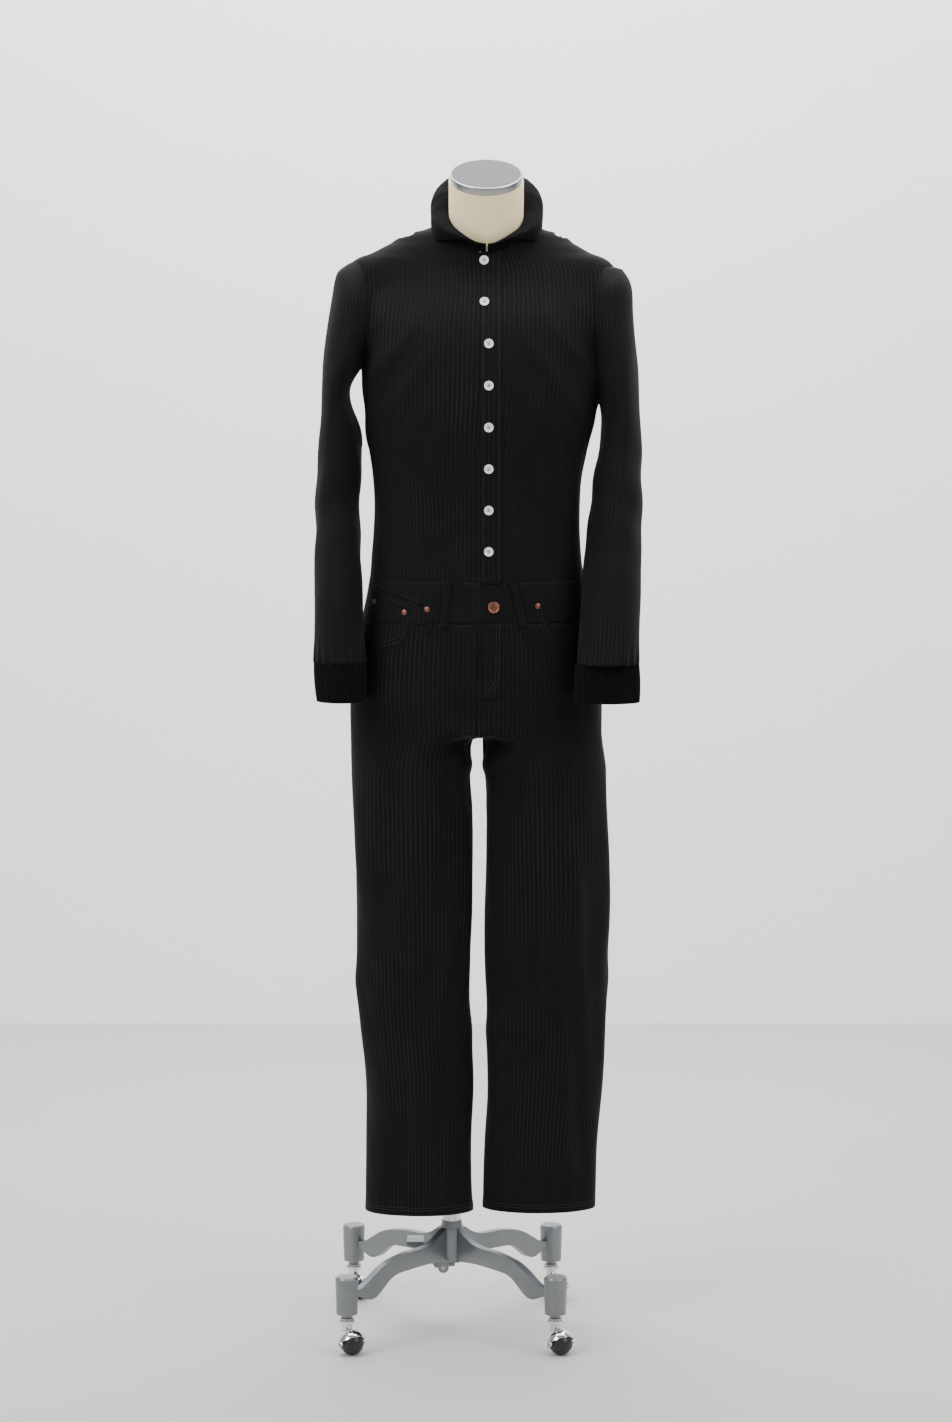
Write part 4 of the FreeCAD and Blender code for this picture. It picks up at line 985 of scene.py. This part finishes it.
class Skin:
    """The dressed outside as one target: finds where a straight line from in front meets the cloth."""

    step, turned_in = 4.0, 2.0

    def __init__(self, pieces: Sequence[Piece]) -> None:
        """Join the pieces' faces into one search tree.

        Args:
            pieces: Cloth objects, in metres at the origin.
        """
        verts, faces, start = [], [], 0
        for obj in pieces:
            verts += [v.co.copy() for v in obj.data.vertices]
            faces += [tuple(i + start for i in p.vertices) for p in obj.data.polygons]
            start = len(verts)
        self.tree = BVHTree.FromPolygons(verts, faces) if faces else None

    def hit(self, x: float, z: float, back: bool = False) -> Tuple[Array, Array]:
        """Where the cloth is, across and up.

        Args:
            x: Millimetres across.
            z: Millimetres up.
            back: Look from behind instead of from in front.

        Returns:
            Point in millimetres and unit normal.
        """
        side = 1.0 if back else -1.0
        place, normal, _, _ = self.tree.ray_cast(Vector((x * MM, side * 0.5, z * MM)), Vector((0, -side, 0)))
        if place is None:
            place, normal, _, _ = self.tree.find_nearest(Vector((x * MM, side * 0.12, z * MM)))
        n = np.array(normal)
        if n[1] * side < 0:
            n = -n
        return np.array(place) / MM, n

    def strip(self, name: str, line: Line, width: float, lift: float, thick: float, *nodes: str,
              back: bool = False) -> Piece:
        """Lay a strip of cloth of one width along a line, with its edges turned under.

        Args:
            name: Object name.
            line: Points across and up, in millimetres.
            width: Width of the strip.
            lift: Height of its face over the cloth.
            thick: Its thickness.
            nodes: CAD nodes it stands in for.
            back: True on the back of the body.

        Returns:
            The strip.
        """
        path = resample(line, self.step)
        way, side_way = along_and_across(path)
        across = side_way * (-1.0 if back else 1.0)
        half = [(width / 2 + 0.3, -0.6), (width / 2, lift * 0.7), (width / 2 - 0.8, lift), (width / 4, lift + 0.1)]
        offsets = [(-x, up) for x, up in half] + [(0.0, lift + 0.1)] + half[::-1]
        grid = np.zeros((len(path), len(offsets), 3))
        for i, (xz, side) in enumerate(zip(path, across)):
            for j, (off, up) in enumerate(offsets):
                p, n = self.hit(xz[0] + side[0] * off, xz[1] + side[1] * off, back)
                grid[i, j] = p + n * up
        if way[0, 1] < 0:
            grid = grid[:, ::-1]
        uv = cloth_uv(np.array([o[0] for o in offsets]), np.arange(len(path)) * self.step)
        obj = give(cloth_from_grid(name, grid, Finish.CLOTH, uv, thick, False), "suit_cloth", *nodes)
        return obj


def resample(line: Line, step: float) -> Array:
    """Points along a polyline at an even step."""
    pts = np.array(line, float)
    arc = run_length(pts)
    count = max(2, int(round(arc[-1] / step)) + 1)
    s = np.linspace(0, arc[-1], count)
    return np.stack([np.interp(s, arc, pts[:, k]) for k in range(pts.shape[1])], 1)


def along_and_across(path: Array) -> Tuple[Array, Array]:
    """Unit directions along a flat path and to its right, at each point."""
    way = np.gradient(path, axis=0)
    way /= np.linalg.norm(way, axis=1, keepdims=True)
    return way, np.stack([way[:, 1], -way[:, 0]], 1)


def lathe(name: str, profile: Line, frame_to: Matrix, material: Finish, around: int = 64
          ) -> Piece:
    """Turn a closed profile round its own axis and place it.

    Args:
        name: Object name.
        profile: Radius and height pairs in millimetres, from the axis below, outward, to the axis above.
        frame_to: Matrix from the profile's frame, in millimetres, to the part's frame.
        material: Finish.
        around: Segments round.

    Returns:
        The turned piece.
    """
    verts, faces = [], []
    rings = profile[1:-1]
    for r, h in rings:
        for k in range(around):
            a = TURN * k / around
            verts.append(frame_to @ Vector((r * math.cos(a), r * math.sin(a), h)))
    foot, top = len(verts), len(verts) + 1
    verts += [frame_to @ Vector((0, 0, profile[0][1])), frame_to @ Vector((0, 0, profile[-1][1]))]
    for i in range(len(rings) - 1):
        for k in range(around):
            a, b = i * around + k, i * around + (k + 1) % around
            faces.append((a, b, b + around, a + around))
    last = (len(rings) - 1) * around
    for k in range(around):
        n = (k + 1) % around
        faces.append((n, k, foot))
        faces.append((last + k, last + n, top))
    obj = link_mesh(name, np.array([tuple(v) for v in verts]), faces, material)
    obj.data.set_sharp_from_angle(angle=math.radians(35))
    return obj


def facing(place: Array, normal: Array) -> Matrix:
    """Matrix that stands a piece on a point, its axis along a direction; millimetres."""
    turn = Vector(tuple(normal)).to_track_quat("Z", "Y").to_matrix().to_4x4()
    return Matrix.Translation(Vector(tuple(place))) @ turn


# ------------------------------------------------------------------ what repeats: geometry nodes
class Scatter:
    """A geometry-nodes group that puts one small piece on each point, turned to the point's own direction."""

    def __init__(self, name: str, material: Finish) -> None:
        """Build the group.

        Args:
            name: Group name.
            material: Finish of the instances.
        """
        tree = bpy.data.node_groups.new(name, "GeometryNodeTree")
        face = tree.interface
        face.new_socket("Points", in_out="INPUT", socket_type="NodeSocketGeometry")
        piece = face.new_socket("Piece", in_out="INPUT", socket_type="NodeSocketObject")
        size = face.new_socket("Size", in_out="INPUT", socket_type="NodeSocketFloat")
        finish_in = face.new_socket("Finish", in_out="INPUT", socket_type="NodeSocketMaterial")
        face.new_socket("Result", in_out="OUTPUT", socket_type="NodeSocketGeometry")
        nodes = {key: tree.nodes.new(kind) for key, kind in (
            ("source", "NodeGroupInput"), ("out", "GeometryNodeInputNamedAttribute"),
            ("along", "GeometryNodeInputNamedAttribute"), ("stand", "FunctionNodeAlignRotationToVector"),
            ("turn", "FunctionNodeAlignRotationToVector"), ("info", "GeometryNodeObjectInfo"),
            ("place", "GeometryNodeInstanceOnPoints"), ("realize", "GeometryNodeRealizeInstances"),
            ("paint", "GeometryNodeSetMaterial"), ("sink", "NodeGroupOutput"))}
        for key in ("out", "along"):
            nodes[key].data_type = "FLOAT_VECTOR"
            nodes[key].inputs["Name"].default_value = key
        nodes["stand"].axis = "Z"
        nodes["turn"].axis, nodes["turn"].pivot_axis = "X", "Z"
        for start, output, end, into in (
                ("out", "Attribute", "stand", "Vector"), ("stand", "Rotation", "turn", "Rotation"),
                ("along", "Attribute", "turn", "Vector"), ("source", "Points", "place", "Points"),
                ("source", "Piece", "info", "Object"), ("info", "Geometry", "place", "Instance"),
                ("turn", "Rotation", "place", "Rotation"), ("source", "Size", "place", "Scale"),
                ("place", "Instances", "realize", "Geometry"), ("realize", "Geometry", "paint", "Geometry"),
                ("source", "Finish", "paint", "Material"), ("paint", "Geometry", "sink", "Result")):
            tree.links.new(nodes[start].outputs[output], nodes[end].inputs[into])
        self.tree, self.material = tree, material
        self.sockets = (piece.identifier, size.identifier, finish_in.identifier)

    def place(self, name: str, piece: Piece, points: Array, out: Array, along: Array, size: float = 1.0
              ) -> Piece:
        """Put the piece on points and turn the result into a plain mesh.

        Args:
            name: Object name.
            piece: Small mesh object at the origin, in metres.
            points: Points in millimetres.
            out: Outward direction at each.
            along: Direction of the piece's x axis at each.
            size: Scale of the piece.

        Returns:
            One mesh object.
        """
        mesh = bpy.data.meshes.new(name + "_points")
        mesh.from_pydata((np.asarray(points) * MM).tolist(), [], [])
        for key, values in (("out", out), ("along", along)):
            layer = mesh.attributes.new(key, "FLOAT_VECTOR", "POINT")
            layer.data.foreach_set("vector", np.asarray(values, np.float32).ravel())
        obj = bpy.data.objects.new(name, mesh)
        bpy.context.scene.collection.objects.link(obj)
        modifier = obj.modifiers.new("scatter", "NODES")
        modifier.node_group = self.tree
        modifier[self.sockets[0]] = piece
        modifier[self.sockets[1]] = size
        modifier[self.sockets[2]] = finish(self.material)
        bpy.context.view_layer.update()
        plain = bpy.data.meshes.new_from_object(obj.evaluated_get(bpy.context.evaluated_depsgraph_get()))
        obj.modifiers.remove(modifier)
        obj.data = plain
        plain.name = name
        LOG.info("piece %s: %d instances, %d faces", name, len(points), len(plain.polygons))
        return obj


@dataclass
class Stitching:
    """Rows of machine stitches: short rounded thread ends that dip into the cloth between needle holes."""

    skin: Skin
    pitch_mm: float = 3.2
    length_mm: float = 2.3
    radius_mm: float = 0.32
    rows: List[Array] = field(default_factory=list)
    outs: List[Array] = field(default_factory=list)
    ways: List[Array] = field(default_factory=list)

    def run(self, line: Line, back: bool = False, double: float = 0.0) -> None:
        """Sew along a line across and up; double sews a second row beside it."""
        path = resample(line, self.pitch_mm)
        _, aside = along_and_across(path)
        for shift in ([0.0, double] if double else [0.0]):
            found = [self.skin.hit(x, z, back) for x, z in path + aside * shift]
            self._keep(np.array([f[0] for f in found]), np.array([f[1] for f in found]))

    def ring(self, points: Array, normals: Array) -> None:
        """Sew round a closed edge given in space."""
        arc = run_length(points)
        s = np.arange(0, arc[-1], self.pitch_mm)
        p, n = (np.stack([np.interp(s, arc, values[:, k]) for k in range(3)], 1) for values in (points, normals))
        self._keep(p, n / np.linalg.norm(n, axis=1, keepdims=True))

    def _keep(self, p: Array, n: Array) -> None:
        """Store one row."""
        if len(p) < 3:
            return
        self.rows.append(p + n * 0.12)
        self.outs.append(n)
        self.ways.append(np.gradient(p, axis=0))

    def build(self, name: str, scatter: Scatter) -> None:
        """Make all the stitches as one piece."""
        half, sides = self.length_mm / 2, 5
        rings = [(-0.86, 0.6), (-0.45, 1.0), (0.45, 1.0), (0.86, 0.6)]
        verts, faces = [(-half, 0, 0)], []
        for x, r in rings:
            for k in range(sides):
                a, r_mm = TURN * k / sides, r * self.radius_mm
                verts.append((x * half, r_mm * math.cos(a), r_mm * math.sin(a)))
        verts.append((half, 0, 0))
        last, top = len(verts) - 1, 1 + (len(rings) - 1) * sides
        for k in range(sides):
            n = (k + 1) % sides
            faces.append((0, 1 + n, 1 + k))
            for i in range(len(rings) - 1):
                a, b = 1 + i * sides + k, 1 + i * sides + n
                faces.append((a, b, b + sides, a + sides))
            faces.append((top + k, top + n, last))
        piece = link_mesh(name + "_stitch", verts, faces, Finish.THREAD)
        obj = scatter.place(name, piece, *(np.concatenate(part) for part in (self.rows, self.outs, self.ways)))
        bpy.data.objects.remove(piece)
        obj.data.shade_smooth()
        give(obj)


# ------------------------------------------------------------------ collar
@dataclass
class Collar:
    """The rib collar: a stand round the neck that rolls over into a leaf, open in a U at the throat.

    Its numbers are heights and reaches against degrees from the front middle.
    """

    centre: Tuple[float, float] = (12.5, -4.0)
    ring: float = 61.5
    thick: float = 2.4
    neck_radius: float = 60.5

    def _neck_reach(self, angle: float, z: float) -> float:
        """Distance from the collar's middle to the neck's surface in one direction at one height."""
        x, y, foot = NECK_PLACE
        lean = math.radians(NECK_LEAN)
        a, b = self.neck_radius, self.neck_radius / math.cos(lean)
        dx, dy = math.sin(angle), -math.cos(angle)
        ox, oy = self.centre[0] - x, self.centre[1] - (y - (z - foot) * math.tan(lean))
        qa = (dx / a) ** 2 + (dy / b) ** 2
        qb = 2 * (ox * dx / a ** 2 + oy * dy / b ** 2)
        qc = (ox / a) ** 2 + (oy / b) ** 2 - 1
        disc = qb * qb - 4 * qa * qc
        return 0.0 if disc < 0 else (-qb + math.sqrt(disc)) / (2 * qa)

    def section(self, deg: float) -> Array:
        """The collar's outside line at one direction, from the leaf's edge over the roll and down the stand.

        Args:
            deg: Degrees from the front middle.

        Returns:
            Points as radius and height.
        """
        side = abs(deg)
        roll = float(np.interp(side, [0, 12, 23, 46, 70, 88, 105, 120, 150, 180],
                               [1797, 1800, 1806.5, 1824, 1852, 1884, 1901, 1909, 1914, 1916]))
        edge = min(float(np.interp(side, [0, 60, 95, 130, 180], [1804, 1804, 1808, 1818, 1822])), roll - 3.0)
        reach = float(np.interp(side, [0, 25, 55, 90, 125, 150, 180], [8, 13, 24, 30, 31, 28, 25]))
        foot = float(np.interp(side, [0, 30, 70, 110, 180], [1786, 1790, 1806, 1820, 1824]))
        angle = math.radians(deg)

        def inner(z: float) -> float:
            return max(self.ring, self._neck_reach(angle, z) + 3.4)

        base = max(inner(roll), inner(roll - 8))
        line = []
        for h in np.linspace(1.0, 0.0, 26):
            knee = min(h / 0.36, 1.0)
            r = base + reach * math.sqrt(max(0.0, 1 - (1 - knee) ** 2))
            r -= 3.0 * max(0.0, (h - 0.36) / 0.64) ** 2
            line.append((r, roll - (roll - edge) * h))
        for h in np.linspace(0.0, 1.0, 15)[1:]:
            z = roll - (roll - foot) * h
            r = inner(z) + (base - inner(roll)) * (1 - h)
            line.append((r - 2.6 * math.sin(math.pi * min(1.0, h * 6) / 2), z - 0.8 * min(1.0, h * 8)))
        return np.array(line)

    def build(self) -> None:
        """Make the collar."""
        degrees = np.linspace(1.2, 358.8, 241)
        signed = np.where(degrees > 180, degrees - 360, degrees)
        sections = np.array([self.section(d) for d in signed])
        reach, height = sections[..., 0].T, sections[..., 1].T
        a = np.radians(degrees)
        grid = np.stack([self.centre[0] + reach * np.sin(a), self.centre[1] - reach * np.cos(a), height], -1)
        grid += grid_normals(grid, False) * (Waves(41, (70.0, 70.0, 90.0))(grid) * 0.7)[..., None]
        uv = cloth_uv(np.linspace(0, TURN * 80, len(degrees)), np.arange(len(grid)) * 3.0)
        obj = cloth_from_grid("collar_rib", grid, Finish.RIB, uv, self.thick, False)
        weld(obj)
        give(obj, "suit_rib", "collar")


# ------------------------------------------------------------------ trims of the suit
@dataclass
class Trims:
    """Placket, fly, belt loops, buttons, rivets and every sewn line."""

    shirt: Skin
    trousers: Skin
    button_x: float = 15.5
    button_first: float = 1304.0
    button_pitch: float = 66.8
    button_radius: float = 7.6
    button_count: int = 8

    def build(self) -> None:
        """Make all the trims."""
        placket = self.shirt.strip("placket_cloth", [(19.5, 1252), (19.5, 1793)], 33.0, 1.5, 1.1, "placket")
        fly = self.trousers.strip("fly_cloth", [(21.5, 1066), (21.5, 1188)], 29.0, 1.3, 1.0)
        self.loops()
        self.buttons(Skin([placket]))
        self.metal()
        self.seams(Skin([placket, fly]))

    def loops(self) -> None:
        """Sew on the five belt loops, each standing a little off the waistband."""
        spots = ((-50, -58, False), (55, 72.5, False), (-75, -75, True), (-3, -3, True), (70, 70, True))
        for k, (top, foot, back) in enumerate(spots):
            nodes = () if k else ("belt_loops",)
            self.trousers.strip("belt_loop_%d" % k, [(foot, 1180), (top, 1256)], 11.0, 2.6, 1.8, *nodes, back=back)

    def buttons(self, placket: Skin) -> None:
        """Set the eight shirt buttons: turned, with a raised rim, a dished middle and four sewn holes."""
        r, count = self.button_radius, self.button_count
        profile = [(0, -0.2), (r - 0.9, -0.2), (r - 0.2, 0.5), (r, 1.3), (r - 0.2, 2.1), (r - 0.7, 2.5),
                   (r - 1.5, 2.4), (r - 2.2, 1.8), (r - 2.8, 1.5), (2.5, 1.4), (0, 1.4)]
        seed = lathe("shirt_button_one", profile, Matrix.Identity(4), Finish.WHITE_BUTTON, 40)
        holes = seed_holes("shirt_button_thread")
        # The placket leans at the throat, so the two top buttons sit nearer the wearer's right.
        shift = [0.0] * (count - 2) + [-7.0, -7.5]
        place = [placket.hit(self.button_x + x, self.button_first + k * self.button_pitch)
                 for k, x in enumerate(shift)]
        points = np.array([p + n * 0.2 for p, n in place])
        outs = np.array([n for _, n in place])
        turn = np.array([[math.cos(0.4 + 0.9 * k), 0, math.sin(0.4 + 0.9 * k)] for k in range(count)])
        white = Scatter("button_scatter", Finish.WHITE_BUTTON).place("shirt_buttons_turned", seed, points, outs, turn)
        dark = Scatter("thread_scatter", Finish.THREAD).place("shirt_button_threads", holes, points, outs, turn)
        bpy.data.objects.remove(seed)
        bpy.data.objects.remove(holes)
        give(white, "button_white", "shirt_buttons")
        give(dark)

    def metal(self) -> None:
        """Set the jean button and the four rivets of the pockets."""
        p, n = self.trousers.hit(23.5, 1214)
        shank = [(0, -0.5), (8.6, -0.5), (9.4, 0.4), (9.5, 1.6), (9.2, 2.6), (8.3, 3.0), (7.6, 2.7), (6.9, 2.2),
                 (5.6, 2.6), (3.4, 3.1), (0, 3.3)]
        give(lathe("jean_button_copper", shank, facing(p + n * 1.0, n), Finish.COPPER, 56), "copper_metal",
             "jean_button")
        cap = [(0, -0.4), (4.3, -0.4), (4.6, 0.2), (4.5, 0.8), (3.8, 1.2), (2.4, 1.2), (2.0, 1.5), (0, 1.9)]
        seed = lathe("rivet_one", cap, Matrix.Identity(4), Finish.COPPER, 28)
        places = [self.trousers.hit(x, z) for x, z in ((-170.5, 1218), (-121.5, 1204), (-84, 1210), (95, 1215))]
        small = Scatter("rivet_scatter", Finish.COPPER).place(
            "pocket_rivets", seed, np.array([q + m * 0.3 for q, m in places]), np.array([m for _, m in places]),
            np.array([[1.0, 0, 0]] * 4))
        bpy.data.objects.remove(seed)
        give(small, "copper_metal", "rivets")

    def seams(self, strips: Skin) -> None:
        """Sew the pocket mouths, the fly, the waistband, the placket and the front seams."""
        rows, gap = Stitching(self.trousers), 5.5
        rows.run([(-168, 1236), (-148, 1231), (-121, 1222), (-97, 1212)], double=gap)
        rows.run([(-115, 1197), (-120, 1172), (-130, 1157), (-154, 1149)], double=gap)
        for k, line in enumerate(([(-170, 1242), (-148, 1237), (-121, 1227.5), (-94, 1217)],
                                  [(-110, 1198), (-115, 1171), (-127, 1152), (-154, 1143.5)],
                                  [(-81, 1203), (-82, 1168)],
                                  [(104.5, 1212), (107, 1194), (112, 1181), (119.5, 1171), (130, 1163),
                                   (149, 1153.5)])):
            self.trousers.strip("pocket_edge_%d" % k, line, 6.4, 0.8, 0.6)
        rows.run([(-78, 1204), (-79, 1170)])
        rows.run([(100, 1211), (103, 1192), (108, 1178), (116, 1167), (127, 1158), (148, 1148)], double=gap)
        rows.run([(-160, 1189.5), (160, 1189.5)], back=True)
        for yoke in ([(-150, 1130), (-5, 1098)], [(150, 1130), (0, 1098)]):
            rows.run(yoke, back=True, double=gap)
        rows.build("stitching_trousers", Scatter("seam_scatter_trousers", Finish.THREAD))
        edge = Stitching(strips)
        for x in (6.0, 33.0):
            edge.run([(x, 1256), (x, 1784)])
        edge.run([(33.2, 1186), (33.0, 1110), (29, 1088), (20, 1074), (10, 1069)], double=gap)
        edge.build("stitching_fronts", Scatter("seam_scatter_fronts", Finish.THREAD))


def sew_hems(grids: Sequence[Array]) -> None:
    """Sew the double row round each trouser hem."""
    rows = Stitching(Skin([]))
    for grid in grids:
        n = tube_normals(grid)
        for height in (grid[0, 0, 2] + 9.0, grid[0, 0, 2] + 13.5):
            k = int(np.argmin(np.abs(grid[:, 0, 2] - height)))
            near, far = grid[k], grid[k + (1 if grid[k, 0, 2] < height else -1)]
            w = (height - near[:, 2:3]) / (far[:, 2:3] - near[:, 2:3])
            rows.ring(near * (1 - w) + far * w, n[k])
    rows.build("stitching_hems", Scatter("seam_scatter_hems", Finish.THREAD))


def seed_holes(name: str) -> Piece:
    """The sewn cross of thread through a button's four holes, and the holes' dark mouths."""
    verts: List[Tuple[float, float, float]] = []
    faces: List[Tuple[int, ...]] = []
    sides, r = 12, 0.85
    for cx, cy in ((1.5, 1.5), (-1.5, 1.5), (-1.5, -1.5), (1.5, -1.5)):
        start = len(verts)
        for h in (1.2, 1.47):
            for k in range(sides):
                a = TURN * k / sides
                verts.append((cx + r * math.cos(a), cy + r * math.sin(a), h))
        faces.append(tuple(start + sides - 1 - k for k in range(sides)))
        faces.append(tuple(start + sides + k for k in range(sides)))
        for k in range(sides):
            n = (k + 1) % sides
            faces.append((start + k, start + n, start + sides + n, start + sides + k))
    for sign in (1, -1):
        start = len(verts)
        for t, up in ((-1.6, 1.3), (-0.8, 1.9), (0.8, 1.95), (1.6, 1.3)):
            for ox, oz in ((0.3, 0.0), (0.0, 0.3), (-0.3, 0.0), (0.0, -0.3)):
                x, y = t + ox * 0.7, t * sign - ox * 0.7 * sign
                verts.append((x, y, up + oz))
        for i in range(3):
            for k in range(4):
                n = (k + 1) % 4
                a, b = start + 4 * i + k, start + 4 * i + n
                faces.append((a, a + 4, b + 4, b) if sign > 0 else (a, b, b + 4, a + 4))
        foot, top = tuple(range(start, start + 4)), tuple(range(start + 12, start + 16))
        faces += [foot, top[::-1]] if sign > 0 else [foot[::-1], top]
    obj = link_mesh(name, np.array(verts), faces, Finish.THREAD)
    weld(obj)
    return obj


# ------------------------------------------------------------------ hard pieces
@dataclass
class Hardware:
    """Finishes of the CAD pieces that show as they are."""

    starts: Tuple[Tuple[Finish, Tuple[str, ...]], ...] = (
        (Finish.CAST, ("base_casting", "pole_socket", "socket_sleeves", "foot_pedal")),
        (Finish.TUBE, ("column_tube", "pole_tube")), (Finish.NECK, ("neck_block", "torso_shell")),
        (Finish.CAP_RIM, ("neck_cap",)), (Finish.BOARD, ("base_board",)), (Finish.CHROME, ("hood_",)),
        (Finish.GUIDE, ("guide_bush", "pole_foot_bush", "clamp_knob")), (Finish.BALL, ("wheel_",)),
        (Finish.ZINC, ("flange_screws", "pedal_pin", "release_rod", "stem_", "axle_")))
    crease_deg: float = 28.0

    def dress(self, nodes: Dict[str, Piece]) -> None:
        """Give every CAD node its material and smooth faces with crisp edges; the rest is the suit's cloth.

        Args:
            nodes: The frame's nodes by name.
        """
        for name, node in nodes.items():
            kind = next((value for value, starts in self.starts if name.startswith(starts)), Finish.CLOTH)
            node.data.materials.clear()
            node.data.materials.append(finish(kind))
            node.data.shade_smooth()
            node.data.set_sharp_from_angle(angle=math.radians(self.crease_deg))
            LOG.info("finish %s: %s", name, kind.value.name)


@dataclass
class Cap:
    """The neck's turned cap: a polished rim with soft edges and a brushed flat face."""

    start: float = 109.0
    radius: float = 58.3
    thick: float = 13.0

    def build(self) -> None:
        """Make the rim and the face."""
        place = Matrix.Translation(Vector(NECK_PLACE)) @ Matrix.Rotation(math.radians(NECK_LEAN), 4, "X")
        r, s, t = self.radius, self.start, self.start + self.thick
        rim = [(0, s), (r - 1.2, s), (r - 0.3, s + 0.4), (r, s + 1.4), (r, t - 1.6), (r - 0.25, t - 0.7),
               (r - 0.8, t - 0.2), (r - 1.6, t), (r - 2.4, t), (0, t)]
        face = [(0, t - 0.4), (r - 2.5, t - 0.4), (r - 2.3, t - 0.05), (r - 2.5, t + 0.12), (r - 3.2, t + 0.15),
                (0, t + 0.15)]
        give(lathe("neck_cap_rim", rim, place, Finish.CAP_RIM, 128), "cap_metal", "neck_cap")
        give(lathe("neck_cap_face", face, place, Finish.CAP_FACE, 128), "cap_metal")


# ------------------------------------------------------------------ studio
@dataclass
class Studio:
    """A pale floor and wall, in millimetres, with large soft lights, in metres and watts."""

    half_width: float = 6000.0
    front_y: float = -7000.0
    wall_y: float = 2600.0
    height: float = 6000.0
    lights: Tuple[Tuple[str, Place, Place, float, float], ...] = (
        ("key_left", (-3.2, -2.6, 3.6), (0, 0, 1.1), 2.6, 150.0),
        ("key_right", (3.2, -2.2, 3.2), (0, 0, 1.1), 2.6, 90.0),
        ("top", (0, 0.6, 4.2), (0, 0, 0.8), 3.0, 80.0),
        ("wall_wash", (0, 0.9, 3.9), (0, 2.6, 1.9), 3.4, 200.0))
    air: str = "eef1f4"
    air_strength: float = 0.55

    def build(self) -> None:
        """Make the floor, the wall and the lights."""
        w, y = self.half_width, self.wall_y
        foot = [(w, y, 0), (-w, y, 0)]
        floor = link_mesh("studio_floor", [(-w, self.front_y, 0), (w, self.front_y, 0)] + foot, [(0, 1, 2, 3)],
                          Finish.FLOOR)
        wall = link_mesh("studio_wall", foot[::-1] + [(w, y, self.height), (-w, y, self.height)], [(0, 1, 2, 3)],
                         Finish.WALL)
        for light in self.lights:
            self.area(*light)
        world = bpy.data.worlds.new("studio_air")
        world.use_nodes = True
        background = world.node_tree.nodes["Background"].inputs
        background["Color"].default_value = srgb(self.air)
        background["Strength"].default_value = self.air_strength
        bpy.context.scene.world = world

    @staticmethod
    def area(name: str, place: Place, aim: Place, size: float, power: float) -> None:
        """Add one square soft light aimed at a point."""
        data = bpy.data.lights.new(name, "AREA")
        data.size, data.energy = size, power
        obj = bpy.data.objects.new(name, data)
        obj.location = place
        obj.rotation_euler = (Vector(aim) - Vector(place)).to_track_quat("-Z", "Y").to_euler()
        bpy.context.scene.collection.objects.link(obj)


def main() -> None:
    """Dress the frame."""
    Viewpoint().build()
    Studio().build()
    Hardware().dress(frame["nodes"])
    surface = TrunkSurface()
    arms = [Sleeve(Side.RIGHT, SLEEVE_RIGHT, CUFF_RIGHT), Sleeve(Side.LEFT, SLEEVE_LEFT, CUFF_LEFT)]
    shapes = [arm.shape() for arm in arms]
    bodice, band = Bodice(surface).build([tree_of(shape[0]) for shape in shapes])
    legs, grids = zip(TrouserLeg(surface, Side.RIGHT, 196.0, LEG_RIGHT).build(),
                      TrouserLeg(surface, Side.LEFT, 201.0, LEG_LEFT, fork_foot=988.0).build())
    sew_hems(grids)
    plain = surface.sheet_tree()
    for arm, shape in zip(arms, shapes):
        arm.build(shape, plain)
    Collar().build()
    Trims(Skin([bodice]), Skin([band, *legs])).build()
    Cap().build()


if __name__ == "__main__":
    main()
